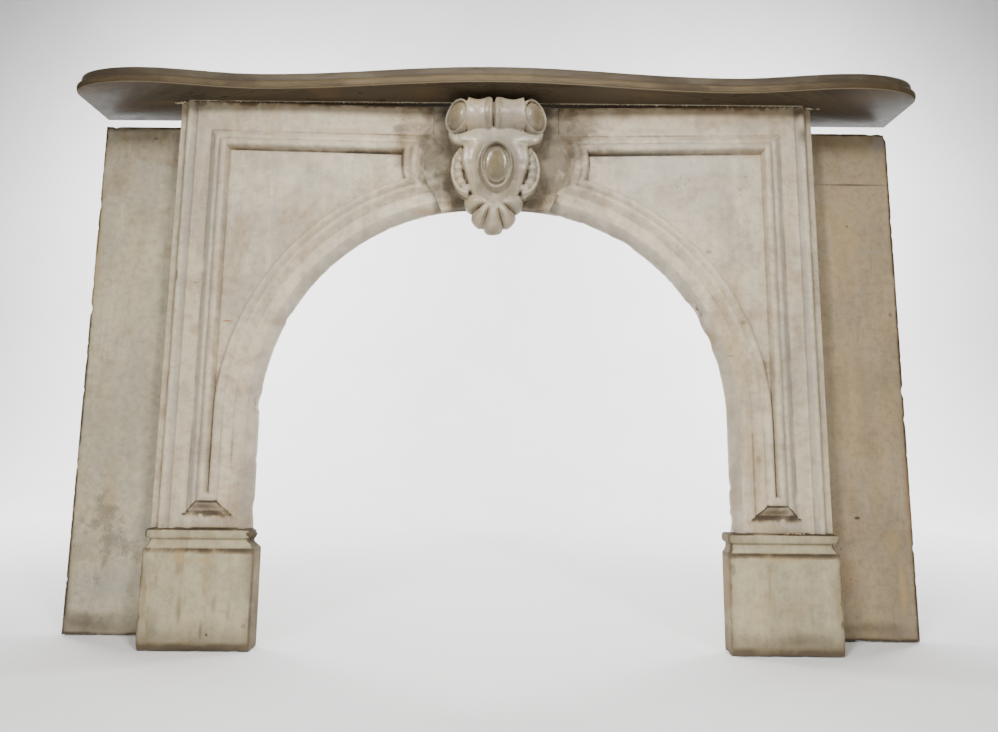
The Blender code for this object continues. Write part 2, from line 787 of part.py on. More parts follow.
def keystone(material, parent):
    """The block between the panels, joined with the cartouche carved on it."""
    side = joint_line(0.0)
    top_x = side[-1][0]
    soffit = []
    for i in range(1, 6):
        x = KEY_FOOT_HALF * (1 - i / 6)
        if x > ARCH_CENTRE_OUT:
            soffit.append((x, SPRING_Z + math.sqrt(ARCH_RADIUS**2 - (x - ARCH_CENTRE_OUT) ** 2)))
    soffit.append((ARCH_CENTRE_OUT, SPRING_Z + ARCH_RADIUS))
    half = soffit[::-1] + side[:-1] + [(top_x, top_z(top_x))]
    outline = half + [(-x, z) for x, z in half[::-1]]
    bm = bmesh.new()
    add_loft(bm, [[(x, y, z) for x, z in outline] for y in (0.0, SLAB)])
    block = object_from(bm, "keystone", material, parent)
    bm = bmesh.new()
    add_roll(bm)
    add_shield(bm)
    add_oval(bm)
    add_leaves(bm)
    for side in (-1, 1):
        add_eye(bm, side)
        add_side_scroll(bm, side)
    unite(block, object_from(bm, "keystone_carving", material, parent), with_itself=True)
    return block


def main():
    clear_scene()
    white = marble("white marble", (0.66, 0.62, 0.54), 0.45)
    carved = marble("carved marble", (0.68, 0.62, 0.50), 0.42)
    brown = marble("stained shelf marble", (0.26, 0.21, 0.14), 0.35)
    base = marble("foot marble", (0.60, 0.55, 0.43), 0.50)
    slip = marble("slip marble", (0.52, 0.46, 0.36), 0.50)
    whole = bpy.data.objects.new("mantel", None)
    whole.location.y = SET_BACK
    bpy.context.collection.objects.link(whole)
    for hand, flip in (("left", True), ("right", False)):
        arch_panel(hand + "_arch_panel", flip, white, whole)
        foot_block(hand + "_foot_block", flip, base, whole)
        side_slip(hand + "_side_slip", flip, slip, whole)
    keystone(carved, whole)
    mantel_shelf(brown, whole)


main()
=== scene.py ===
import math
import random

import bmesh
import bpy
import numpy as np
from mathutils import Matrix, Vector, noise
from mathutils.geometry import delaunay_2d_cdt


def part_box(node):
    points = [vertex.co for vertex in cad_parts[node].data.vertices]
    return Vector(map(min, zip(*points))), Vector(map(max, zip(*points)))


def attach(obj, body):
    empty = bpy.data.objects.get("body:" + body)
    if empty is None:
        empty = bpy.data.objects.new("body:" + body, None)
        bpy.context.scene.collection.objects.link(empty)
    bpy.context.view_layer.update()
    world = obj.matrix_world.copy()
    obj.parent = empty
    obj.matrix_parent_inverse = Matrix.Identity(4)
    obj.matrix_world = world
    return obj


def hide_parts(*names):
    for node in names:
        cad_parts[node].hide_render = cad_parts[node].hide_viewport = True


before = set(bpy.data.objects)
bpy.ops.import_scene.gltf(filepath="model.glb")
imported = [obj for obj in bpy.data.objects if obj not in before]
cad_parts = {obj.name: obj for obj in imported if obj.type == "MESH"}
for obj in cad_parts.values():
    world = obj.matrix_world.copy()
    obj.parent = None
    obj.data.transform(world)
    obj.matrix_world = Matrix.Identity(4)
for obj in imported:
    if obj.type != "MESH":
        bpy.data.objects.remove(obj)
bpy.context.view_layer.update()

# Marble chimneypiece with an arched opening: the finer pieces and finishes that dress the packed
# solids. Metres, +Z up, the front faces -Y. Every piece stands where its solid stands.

bl_info = {
    "name": "Arched marble mantel",
    "version": (1, 0, 0),
    "blender": (4, 5, 0),
    "location": "3D View > Sidebar > Mantel",
    "description": "Builds the pieces and finishes of an old arched marble mantel",
    "category": "Object",
}

LEG_LOW, LEG_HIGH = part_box("right_arch_panel")
SHELF_LOW, SHELF_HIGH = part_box("mantel_shelf")
FOOT_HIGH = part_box("right_foot_block")[1]

# The same forms as the solids have
FRONT_Y = -0.0085  # front of the arch panels
JOINT = 0.0006
TOUCH_GAP = 0.0003  # between a return and its slip
OPENING_HALF = 0.455
ARCH_CENTRE = (0.035, 0.426)
ARCH_RADIUS = 0.420
LEG_OUT = LEG_HIGH[0]
SLAB = 0.022
FRIEZE_TOP = LEG_HIGH[2]
LEG_FOOT = LEG_LOW[2]
FALL_START = 0.585
FALL_SLOPE = 0.0145
RETURN_THICKNESS = 0.024
COVE_WIDTH = 0.018
COVE_DEPTH = 0.012
EDGE_FILLET = 0.018
EDGE_DROP = 0.010
EDGE_RISE = 0.004
EDGE_WIDTH = 0.044
PANEL_OUT = 0.574
PANEL_TOP = 1.003
PANEL_FOOT = 0.246
MOULD_RADIUS = 0.461
MOULD_WIDTH = 0.039
MOULD_RISE = 0.0135
MOULD_INSET = 0.041
FIELD_DEPTH = 0.002
END_CENTRE = (0.045, 0.940)
END_RADIUS = 0.105
JOINT_RADIUS = 0.102
KEY_FOOT_HALF = 0.108
KEY_HALF_WIDTH = 0.098
KEY_HEIGHT = 0.280
KEY_PROJECTION = 0.070
KEY_TOP = 1.0555
FOOT_IN = 0.438
FOOT_PROUD = 0.013
FOOT_COVE = 0.018
FOOT_TORUS = 0.017
FOOT_SINK = 0.0065
FOOT_ARRIS = 0.004
FOOT_FACE_STEPS, FOOT_END_STEPS = 34, 6
SLIP_FRONT = 0.080
SHELF_HALF = SHELF_HIGH[0]
SHELF_THICKNESS = SHELF_HIGH[2] - SHELF_LOW[2]
SHELF_CREST = 0.083
SHELF_HOLLOW = 0.052
SHELF_EAR = 0.072
SHELF_HOLLOW_X = 0.470
SHELF_EAR_X = 0.700
SHELF_SHOULDER = 0.017

# Tints that belong to one stone each; pairs are mixed by clouds
BLOOM_SHADES = (0.112, 0.090, 0.058), (0.048, 0.036, 0.021)
AMBER_SHADES = (0.104, 0.076, 0.027), (0.048, 0.033, 0.011)
# Dirt and painted shade in the dish round the keystone's oval
OVAL_HALO_DIRT_AND_SHADE = (0.105, 0.083, 0.052)
FOOT_SHADES = (0.37, 0.325, 0.205), (0.29, 0.255, 0.160)
FOOT_GRIME = (0.098, 0.076, 0.047)
FOOT_RIM = (0.115, 0.088, 0.052)
LEFT_SLIP_SHADES = (0.45, 0.395, 0.275), (0.36, 0.322, 0.232)
RIGHT_SLIP_SHADES = (0.315, 0.245, 0.15), (0.24, 0.19, 0.12)
SLIP_GRIME = (0.085, 0.068, 0.046)
SLIP_BLOTCH = (0.125, 0.112, 0.088)
SMOKE_DARK = (0.022, 0.017, 0.012)
SMOKE_BROWN = (0.13, 0.070, 0.026)
# Painted glow on the polished underside of the shelf
SMOKE_PAINTED_GLOW = (0.15, 0.078, 0.026)
SMOKE_BLACK = (0.014, 0.009, 0.005)
# The nose of the shelf's edge: a yellower tint, and painted light where it faces up
NOSE_SHADES_AND_PAINTED_LIGHT = (0.105, 0.074, 0.034), (0.056, 0.038, 0.019)
UPPER_SHADES = (0.078, 0.060, 0.037), (0.044, 0.032, 0.019)
SHELF_LIP = (0.24, 0.19, 0.11)

# The camera, solved from the photo: focal length and width in pixels, place, and turns in radians
PHOTO_FOCAL, PHOTO_WIDTH = 640.0, 998.0
SENSOR_WIDTH = 36.0
CAMERA_PLACE = (0.00986, -1.22829 + FRONT_Y, 0.37362)
CAMERA_PITCH, CAMERA_ROLL, CAMERA_TURN = 0.12423, 0.0095, 0.0006

# The stage: the floor just below the feet, and the sweep up to the backdrop behind
FLOOR_LEVEL, SWEEP_START, SWEEP_RADIUS = -0.002, 2.2, 1.6
SPOT_POWER, SPOT_SIZE = 370.0, 0.30
WARM_WHITE = (1.0, 0.985, 0.96)


class MantelSizes(bpy.types.PropertyGroup):
    grain: bpy.props.FloatProperty(
        name="Surface grain", description="Depth of the worn marble's unevenness",
        default=0.0005, min=0.0, max=0.003, unit="LENGTH")
    chips: bpy.props.FloatProperty(
        name="Chips", description="Depth of the deepest chips along the arrises",
        default=0.004, min=0.0, max=0.01, unit="LENGTH")
    carving_step: bpy.props.FloatProperty(
        name="Carving step", description="Size of the keystone's finest facets",
        default=0.0015, min=0.001, max=0.005, unit="LENGTH")
    plan_step: bpy.props.FloatProperty(
        name="Panel step", description="Spacing of the points on the arch panels",
        default=0.009, min=0.005, max=0.03, unit="LENGTH")
    shelf_steps: bpy.props.IntProperty(
        name="Shelf steps", description="Divisions along the shelf's edge",
        default=420, min=80, max=800)
    shelf_edge: bpy.props.FloatProperty(
        name="Shelf edge", description="Depth of the moulding on the shelf's edge",
        default=0.010, min=0.0, max=0.02, unit="LENGTH")
    crumb_size: bpy.props.FloatProperty(
        name="Crumb size", description="Size of the largest crumbs of old plaster",
        default=0.0035, min=0.0005, max=0.01, unit="LENGTH")
    crumb_gap: bpy.props.FloatProperty(
        name="Crumb gap", description="Mean distance between crumbs of old plaster",
        default=0.010, min=0.003, max=0.1, unit="LENGTH")


def colour_property(name, description, default):
    return bpy.props.FloatVectorProperty(
        name=name, description=description, default=default, size=3, min=0.0, max=1.0,
        subtype="COLOR")


class MantelColours(bpy.types.PropertyGroup):
    cream: colour_property("Cream", "Clean marble", (0.47, 0.40, 0.285))
    grey: colour_property("Grey clouding", "Weathered marble", (0.355, 0.305, 0.225))
    slate: colour_property("Slate clouding", "Cool grey bloom in the marble", (0.24, 0.235, 0.22))
    tan: colour_property("Tan stain", "Stains in the marble", (0.24, 0.155, 0.075))
    ochre: colour_property("Ochre", "Yellow-brown ageing", (0.34, 0.24, 0.10))
    rust: colour_property("Rust", "Marks left by iron", (0.26, 0.10, 0.025))
    # This colour lays dirt, and also painted shade in hollows and painted shadow in pockets
    dirt_and_shade: colour_property("Dirt", "Dirt in hollows and joints", (0.040, 0.029, 0.018))
    smoke: colour_property("Smoked marble", "The brown of the shelf", (0.050, 0.034, 0.020))
    plaster: colour_property("Old plaster", "Plaster and mortar left behind", (0.50, 0.45, 0.33))


def sizes():
    return bpy.context.scene.mantel_sizes


def colours():
    return bpy.context.scene.mantel_colours


# Finishes


class Recipe:
    """Puts a marble finish together, node by node. Patterns follow Object coordinates."""

    def __init__(self, name, turn=0.0):
        self.material = bpy.data.materials.new(name)
        self.material.use_nodes = True
        self.tree = self.material.node_tree
        self.shader = self.tree.nodes["Principled BSDF"]
        place = self.tree.nodes.new("ShaderNodeTexCoord").outputs["Object"]
        shift = self.tree.nodes.new("ShaderNodeMapping")
        shift.inputs["Location"].default_value = (turn, turn * 0.7, -turn * 0.4)
        self.tree.links.new(place, shift.inputs["Vector"])
        self.place = place
        self.shifted = shift.outputs["Vector"]

    def set(self, socket, value):
        if isinstance(value, bpy.types.NodeSocket):
            self.tree.links.new(value, socket)
        elif socket.type == "RGBA" and len(value) == 3:
            socket.default_value = (*value, 1.0)
        else:
            socket.default_value = value

    def clouds(self, scale, detail=4.0, rough=0.55, distortion=0.0, stretch=None):
        node = self.tree.nodes.new("ShaderNodeTexNoise")
        vector = self.shifted
        if stretch:
            vector = self.vector("MULTIPLY", vector, stretch)
        self.set(node.inputs["Vector"], vector)
        node.inputs["Scale"].default_value = scale
        node.inputs["Detail"].default_value = detail
        node.inputs["Roughness"].default_value = rough
        node.inputs["Distortion"].default_value = distortion
        return node.outputs["Fac"]

    def cells(self, scale):
        node = self.tree.nodes.new("ShaderNodeTexVoronoi")
        self.set(node.inputs["Vector"], self.shifted)
        node.inputs["Scale"].default_value = scale
        return node.outputs["Distance"]

    def vector(self, kind, a, b):
        node = self.tree.nodes.new("ShaderNodeVectorMath")
        node.operation = kind
        self.set(node.inputs[0], a)
        if b is not None:
            self.set(node.inputs[1], b)
        return node.outputs["Value" if kind == "LENGTH" else "Vector"]

    def number(self, kind, a, b):
        node = self.tree.nodes.new("ShaderNodeMath")
        node.operation = kind
        self.set(node.inputs[0], a)
        self.set(node.inputs[1], b)
        return node.outputs[0]

    def between(self, value, low, high, to_low=0.0, to_high=1.0):
        """Smoothly from to_low at low to to_high at high."""
        node = self.tree.nodes.new("ShaderNodeMapRange")
        node.interpolation_type = "SMOOTHSTEP"
        self.set(node.inputs["Value"], value)
        for name, number in zip(("From Min", "From Max", "To Min", "To Max"), (low, high, to_low, to_high)):
            node.inputs[name].default_value = number
        return node.outputs["Result"]

    def mix(self, share, a, b, kind="MIX"):
        node = self.tree.nodes.new("ShaderNodeMix")
        node.data_type = "RGBA"
        node.blend_type = kind
        self.set(node.inputs["Factor"], share)
        self.set(node.inputs[6], a)
        self.set(node.inputs[7], b)
        return node.outputs[2]

    def over(self, colour, share, strength, tint):
        """The colour with a tint laid over it, by this share of the strength."""
        return self.mix(self.number("MULTIPLY", share, strength), colour, tint)

    def stripe(self, value, middle, far, near):
        """1 where the value is nearer than near to the middle, and 0 from far on."""
        away = self.number("ABSOLUTE", self.number("SUBTRACT", value, middle), 0.0)
        return self.between(away, far, near)

    def attribute(self, name):
        node = self.tree.nodes.new("ShaderNodeAttribute")
        node.attribute_name = name
        return node.outputs["Fac"]

    def part(self, axis):
        node = self.tree.nodes.new("ShaderNodeSeparateXYZ")
        self.set(node.inputs[0], self.place)
        return node.outputs[axis]

    def patch(self, centre, size, ragged=0.5, soft=0.5):
        """1 inside a patch about the centre, with a ragged edge, and 0 outside."""
        away = self.vector("SUBTRACT", self.place, centre)
        away = self.vector("MULTIPLY", away, tuple(1.0 / max(s, 1e-4) for s in size))
        away = self.vector("LENGTH", away, None)
        rag = self.number("MULTIPLY", self.ragged(), ragged)
        return self.between(self.number("ADD", away, rag), 1.0 + ragged * 0.5, 1.0 + ragged * 0.5 - soft)

    def ragged(self):
        if not hasattr(self, "rag"):
            self.rag = self.clouds(22.0, 5.0, 0.6, 0.4)
        return self.rag

    def finish(self, colour, roughness, height, strength, distance=0.001, gloss=0.25):
        self.set(self.shader.inputs["Base Color"], colour)
        self.set(self.shader.inputs["Roughness"], roughness)
        self.shader.inputs["Specular IOR Level"].default_value = gloss
        bump = self.tree.nodes.new("ShaderNodeBump")
        bump.inputs["Strength"].default_value = strength
        bump.inputs["Distance"].default_value = distance
        self.set(bump.inputs["Height"], height)
        self.set(self.shader.inputs["Normal"], bump.outputs["Normal"])
        return self.material


def scaled(colour, factor):
    return tuple(min(1.0, part * factor) for part in colour)


def weathered(recipe, base, cloud, warmth):
    """Marble with grey clouds, tan stains, fine specks, and dirt with painted shade from the dirt_and_shade
    attribute.
    """
    shades = colours()
    big = recipe.clouds(3.0, 5.0, 0.6, 0.6)
    mid = recipe.clouds(13.0, 6.0, 0.64, 0.4)
    fine = recipe.clouds(70.0, 6.0, 0.7)
    brushed = recipe.clouds(36.0, 4.0, 0.6, 0.2, stretch=(1.0, 1.0, 0.10))
    veil = recipe.number("ADD", recipe.number("MULTIPLY", big, 0.50), recipe.number("MULTIPLY", mid, 0.30))
    veil = recipe.number("ADD", veil, recipe.number("MULTIPLY", brushed, 0.20))
    colour = recipe.mix(recipe.between(veil, 0.44, 0.57), base, cloud)
    warm = recipe.clouds(6.0, 6.0, 0.70, 1.0)
    colour = recipe.mix(recipe.between(warm, 0.50, 0.66, 0.0, warmth), colour, shades.tan)
    runs = recipe.clouds(14.0, 6.0, 0.66, 0.3, stretch=(1.0, 1.0, 0.16))
    colour = recipe.mix(recipe.between(runs, 0.50, 0.70, 0.0, 0.36), colour, shades.ochre)
    washed = recipe.clouds(30.0, 5.0, 0.66, 0.3, stretch=(1.0, 1.0, 0.12))
    colour = recipe.mix(recipe.between(washed, 0.48, 0.30, 0.0, 0.34), colour, scaled(base, 1.4))
    colour = recipe.mix(recipe.between(fine, 0.32, 0.58, 0.24, 0.0), colour, shades.dirt_and_shade)
    cool = recipe.clouds(20.0, 5.0, 0.66, 0.8)
    colour = recipe.mix(recipe.between(cool, 0.54, 0.68, 0.0, 0.26), colour, shades.slate)
    pits = recipe.between(recipe.cells(150.0), 0.12, 0.03)
    pits = recipe.number("MULTIPLY", pits, recipe.between(mid, 0.53, 0.62))
    colour = recipe.over(colour, pits, 0.75, shades.dirt_and_shade)
    # The attribute holds dirt, and painted shade in quirks, hollows and on faces turned from the light; it
    # lays tan, then dark brown
    grime_and_shade = recipe.attribute("dirt_and_shade")
    grime_and_shade = recipe.number("MULTIPLY", grime_and_shade, recipe.between(mid, 0.32, 0.60, 0.40, 1.35))
    colour = recipe.mix(recipe.between(grime_and_shade, 0.02, 0.55, 0.0, 0.72), colour, scaled(shades.tan, 0.55))
    colour = recipe.mix(recipe.between(grime_and_shade, 0.28, 0.85, 0.0, 0.85), colour, scaled(shades.dirt_and_shade, 0.7))
    height = recipe.number("ADD", recipe.number("MULTIPLY", fine, 0.35), recipe.number("MULTIPLY", mid, 0.65))
    height = recipe.number("SUBTRACT", height, recipe.number("MULTIPLY", pits, 0.8))
    return colour, height, mid


def dulled(recipe, mid, low, high):
    """Roughness from low to high, more where the marble is clouded or where the dirt_and_shade attribute is
    high.
    """
    return recipe.between(recipe.number("ADD", mid, recipe.attribute("dirt_and_shade")), 0.3, 0.9, low, high)


def panel_marble(name, turn, patches):
    shades = colours()
    recipe = Recipe(name, turn)
    colour, height, mid = weathered(recipe, shades.cream, shades.grey, 0.42)
    # The bloom attribute lays slate: grey bloom, with painted shade on the outward slopes and the hollow
    # edges
    colour = recipe.mix(recipe.attribute("bloom"), colour, shades.slate)
    colour = lay_patches(recipe, colour, patches)
    colour = around_keystone(recipe, colour)
    # Browner towards the top under the shelf: smoke stain, and painted shade where the shelf shades the
    # frieze
    smoked = recipe.between(recipe.part("Z"), FRIEZE_TOP - 0.075, FRIEZE_TOP + 0.01, 0.0, 0.30)
    smoked = recipe.number("MULTIPLY", smoked, recipe.between(mid, 0.35, 0.6, 0.6, 1.1))
    colour = recipe.mix(smoked, colour, shades.tan)
    return recipe.finish(colour, dulled(recipe, mid, 0.42, 0.66), height, 0.35)


def around_keystone(recipe, colour):
    """The brown-grey bloom that spreads from the keystone over the joints, on the front only."""
    bloom = recipe.patch((0.008, FRONT_Y, 0.975), (0.235, 9.0, 0.205), 0.9, 0.45)
    bloom = recipe.number("MULTIPLY", bloom, recipe.between(recipe.part("Y"), 0.010, 0.004))
    mottle = recipe.clouds(26.0, 6.0, 0.66, 0.5)
    brown = recipe.mix(recipe.between(mottle, 0.36, 0.64), *BLOOM_SHADES)
    return recipe.over(colour, bloom, 0.94, brown)


def lay_patches(recipe, colour, patches):
    """Lays each stain, and each patch of painted shadow, over the colour: (colour's name, strength, centre,
    half size, raggedness).
    """
    for tint, strength, (x, z), (wide, high), ragged in patches:
        soft = 0.9 if max(wide, high) > 0.02 else 0.6
        place = recipe.patch((x, 0.0, z), (wide, 9.0, high), ragged, soft)
        colour = recipe.over(colour, place, strength, getattr(colours(), tint))
    return colour


# Plain shapes


def smooth_noise(place, scale, seed=0.0):
    return noise.noise(Vector(place) * scale + Vector((seed, seed * 1.7, -seed)))


def placed(name, data):
    """A new object with this data, in the scene."""
    piece = bpy.data.objects.new(name, data)
    bpy.context.scene.collection.objects.link(piece)
    return piece


def object_of(name, bm, materials, sharp=38.0, recalculate=True):
    if recalculate:
        bmesh.ops.remove_doubles(bm, verts=bm.verts[:], dist=1e-6)
        bmesh.ops.recalc_face_normals(bm, faces=bm.faces[:])
    mesh = bpy.data.meshes.new(name)
    bm.to_mesh(mesh)
    bm.free()
    mesh.shade_smooth()
    if sharp:
        mesh.set_sharp_from_angle(angle=math.radians(sharp))
    for material in materials:
        mesh.materials.append(material)
    return placed(name, mesh)


def give(piece, name, values):
    """Stores one number per point, for the finish to read."""
    layer = piece.data.attributes.new(name, "FLOAT", "POINT")
    layer.data.foreach_set("value", np.asarray(values, np.float32))


def loft(bm, sections, closed=True):
    rings = [[bm.verts.new(point) for point in section] for section in sections]
    count = len(rings[0])
    for lower, upper in zip(rings, rings[1:]):
        for i in range(count if closed else count - 1):
            j = (i + 1) % count
            bm.faces.new((lower[i], lower[j], upper[j], upper[i]))
    return rings


def capped(bm, sections):
    rings = loft(bm, sections)
    bm.faces.new(rings[0][::-1])
    bm.faces.new(rings[-1])


def turned(bm, frame_matrix, profile, steps):
    sections = []
    for height, radius in profile:
        ring = []
        for i in range(steps):
            turn = math.tau * i / steps
            ring.append(frame_matrix @ Vector((radius * math.cos(turn), radius * math.sin(turn), height)))
        sections.append(ring)
    capped(bm, sections)


def through(points, steps):
    """A smooth run of numbers through the given tuples, by Catmull-Rom."""
    rows = [points[0]] + list(points) + [points[-1]]
    run = []
    for a, b, c, d in zip(rows, rows[1:], rows[2:], rows[3:]):
        for i in range(steps):
            t = i / steps
            run.append(tuple(
                0.5 * (2 * q + (r - p) * t + (2 * p - 5 * q + 4 * r - s) * t * t
                       + (3 * q - p - 3 * r + s) * t ** 3)
                for p, q, r, s in zip(a, b, c, d)))
    run.append(tuple(points[-1]))
    return run


def worn_slab(bm, low, high, step, rounding, depth, seed):
    """A slab in small facets, its arrises rubbed and chipped."""
    size = [b - a for a, b in zip(low, high)]
    counts = [max(1, round(length / step)) for length in size]
    start = len(bm.verts)
    for axis in range(3):
        u, v = [i for i in range(3) if i != axis]
        for end in (0.0, 1.0):
            grid = []
            for i in range(counts[u] + 1):
                row = []
                for j in range(counts[v] + 1):
                    place = [0.0, 0.0, 0.0]
                    place[axis] = low[axis] + end * size[axis]
                    place[u] = low[u] + size[u] * i / counts[u]
                    place[v] = low[v] + size[v] * j / counts[v]
                    row.append(bm.verts.new(place))
                grid.append(row)
            for i in range(counts[u]):
                for j in range(counts[v]):
                    bm.faces.new((grid[i][j], grid[i + 1][j], grid[i + 1][j + 1], grid[i][j + 1]))
    bm.verts.ensure_lookup_table()
    made = bm.verts[start:]
    bmesh.ops.remove_doubles(bm, verts=made, dist=1e-6)
    middle = Vector([(a + b) / 2 for a, b in zip(low, high)])
    for vert in [vert for vert in made if vert.is_valid]:
        place = vert.co.copy()
        near = sorted((min(place[i] - low[i], high[i] - place[i]), i) for i in range(3))
        close = max(0.0, 1.0 - near[1][0] / (step * 1.5))
        if close <= 0.0:
            continue
        chip = max(0.0, smooth_noise(place, 42.0, seed) - 0.40) * depth * 5.0
        chip += max(0.0, smooth_noise(place, 150.0, seed + 3) - 0.25) * depth
        for _, i in near[:2]:
            towards = 1.0 if middle[i] > place[i] else -1.0
            vert.co[i] += towards * close * (rounding + chip)


def open_rim(bm):
    return [edge for edge in bm.edges if edge.is_boundary]


def draw_back(bm, share):
    """Draws the open rim this share of the way to the stone's flat back, and gives its new points."""
    made = bmesh.ops.extrude_edge_only(bm, edges=open_rim(bm))["geom"]
    verts = [element for element in made if isinstance(element, bmesh.types.BMVert)]
    for vert in verts:
        vert.co.y += (FRONT_Y + SLAB - vert.co.y) * share
    return verts


def add_return(bm, side, outer, heights, step, depth, seed):
    """The return from a stone's outer edge back to its slip, between the two heights."""
    low = [outer - RETURN_THICKNESS, FRONT_Y + SLAB / 2, heights[0]]
    high = [outer, FRONT_Y + SLIP_FRONT - TOUCH_GAP, heights[1]]
    if side < 0:
        low[0], high[0] = -high[0], -low[0]
    worn_slab(bm, low, high, step, 0.0004, depth, seed)


# Arch panels


def arc(centre, radius, start, end, steps):
    points = []
    for i in range(steps + 1):
        angle = start + (end - start) * i / steps
        points.append((centre[0] + radius * math.cos(angle), centre[1] + radius * math.sin(angle)))
    return points


def angle_of(centre, point):
    return math.atan2(point[1] - centre[1], point[0] - centre[0])


def straight(a, b, step):
    steps = max(1, round(math.dist(a, b) / step))
    return [(a[0] + (b[0] - a[0]) * i / steps, a[1] + (b[1] - a[1]) * i / steps) for i in range(steps + 1)]


def run(a, b, step, gap=0.0035):
    """A straight line with a point close to each end, where the mitres are."""
    points = straight(a, b, step)
    length = math.dist(a, b)
    if length < 4 * gap:
        return points
    dx, dz = (b[0] - a[0]) / length * gap, (b[1] - a[1]) / length * gap
    return [a, (a[0] + dx, a[1] + dz)] + points[1:-1] + [(b[0] - dx, b[1] - dz), b]


def top_z(x):
    return FRIEZE_TOP - FALL_SLOPE * max(0.0, FALL_START - x)


def line_meets_circle(a, b, centre, radius):
    dx, dz = b[0] - a[0], b[1] - a[1]
    fx, fz = a[0] - centre[0], a[1] - centre[1]
    qa = dx * dx + dz * dz
    qb = 2 * (fx * dx + fz * dz)
    qc = fx * fx + fz * fz - radius * radius
    root = math.sqrt(qb * qb - 4 * qa * qc)
    ways = [(-qb + sign * root) / (2 * qa) for sign in (1, -1)]
    t = min(ways, key=lambda way: abs(way - 1))
    return (a[0] + t * dx, a[1] + t * dz)


def circles_meet(c1, r1, c2, r2):
    dx, dz = c2[0] - c1[0], c2[1] - c1[1]
    apart = math.hypot(dx, dz)
    along = (apart * apart + r1 * r1 - r2 * r2) / (2 * apart)
    aside = math.sqrt(r1 * r1 - along * along)
    return (c1[0] + (along * dx + aside * dz) / apart, c1[1] + (along * dz - aside * dx) / apart)


def moulding_line(inset, step):
    """One closed line of the panel moulding, this far in from its outer edge."""
    inner_x = OPENING_HALF + (MOULD_RADIUS - ARCH_RADIUS) + inset
    outer_x = PANEL_OUT - inset
    low_z = PANEL_FOOT + inset
    end_r = END_RADIUS + inset
    arch_r = MOULD_RADIUS + inset

    def level(x):
        return PANEL_TOP - FALL_SLOPE * (PANEL_OUT - x) - inset

    far = (outer_x, level(outer_x))
    near = (END_CENTRE[0], level(END_CENTRE[0]))
    top_corner = line_meets_circle(near, (END_CENTRE[0] + end_r, near[1]), END_CENTRE, end_r)
    low_corner = circles_meet(ARCH_CENTRE, arch_r, END_CENTRE, end_r)
    points = run((inner_x, low_z), (inner_x, ARCH_CENTRE[1]), step)
    turn = angle_of(ARCH_CENTRE, low_corner)
    points += arc(ARCH_CENTRE, arch_r, 0.0, turn, round(arch_r * turn / step))[1:]
    points += arc(END_CENTRE, end_r, angle_of(END_CENTRE, low_corner),
                  angle_of(END_CENTRE, top_corner), 16)[1:]
    points += run(top_corner, far, step)[1:]
    points += run(far, (outer_x, low_z), step)[1:]
    points += run((outer_x, low_z), (inner_x, low_z), step)[1:-1]
    return points


def joint_line(clearance, steps=14):
    radius = JOINT_RADIUS + clearance
    low = circles_meet(ARCH_CENTRE, MOULD_RADIUS, END_CENTRE, radius)
    foot_x = KEY_FOOT_HALF + clearance
    foot_z = ARCH_CENTRE[1] + math.sqrt(ARCH_RADIUS**2 - (foot_x - ARCH_CENTRE[0]) ** 2)
    upper = math.asin((END_CENTRE[1] - low[1]) / radius)
    points = straight((foot_x, foot_z), low, 0.006)[:-1]
    points += arc(END_CENTRE, radius, angle_of(END_CENTRE, low), upper, steps)
    x = points[-1][0]
    points += straight(points[-1], (x, top_z(x)), 0.008)[1:]
    return points


def inside(polygon, x, z):
    """Which of the places lie inside the polygon, by the even-odd rule."""
    found = np.zeros(len(x), bool)
    for (x1, z1), (x2, z2) in zip(polygon, polygon[1:] + polygon[:1]):
        crosses = (z1 > z) != (z2 > z)
        with np.errstate(divide="ignore", invalid="ignore"):
            reach = (x2 - x1) * (z - z1) / (z2 - z1) + x1
        found ^= crosses & (x < reach)
    return found


# The third column lays dirt with painted shade, in the quirks and where the moulding drops to the field
MOULDING = (  # share across, share of the rise, dirt
    (0.00, 0.00, 0.45), (0.03, 0.04, 0.30), (0.08, 0.14, 0.12), (0.14, 0.27, 0.05),
    (0.20, 0.41, 0.04), (0.26, 0.53, 0.02), (0.30, 0.595, 0.0), (0.35, 0.622, 0.0), (0.42, 0.622, 0.04),
    (0.465, 0.600, 0.28), (0.490, 0.605, 0.36), (0.53, 0.69, 0.12), (0.58, 0.81, 0.0), (0.64, 0.925, 0.0),
    (0.70, 0.985, 0.0), (0.77, 1.00, 0.0), (0.83, 0.95, 0.0), (0.88, 0.82, 0.06), (0.92, 0.60, 0.20),
    (0.955, 0.32, 0.36), (0.98, 0.06, 0.66),
)
OUTER_EDGE = (  # distance from the leg's outer edge, depth, dirt
    (0.0, EDGE_DROP + 0.0012, 0.1), (0.0012, EDGE_DROP, 0.05), (0.009, EDGE_DROP, 0.10),
    (0.0165, EDGE_DROP, 0.30), (EDGE_FILLET - 0.0004, EDGE_DROP - 0.0002, 0.62),
    (EDGE_FILLET + 0.0004, 0.002, 0.30), (0.0196, -0.0020, 0.04), (0.0218, -0.0036, 0.0),
    (0.0240, -EDGE_RISE, 0.0), (0.0262, -0.0034, 0.0), (0.0284, -0.0018, 0.06), (0.0306, 0.0003, 0.14),
    (0.0328, 0.0018, 0.20), (0.0350, 0.0024, 0.22), (0.0372, 0.0018, 0.14), (0.0388, 0.0006, 0.04),
    (0.0400, -0.0006, 0.0), (0.0414, -0.0009, 0.0), (0.0428, -0.0005, 0.0), (0.0440, 0.0, 0.10),
)
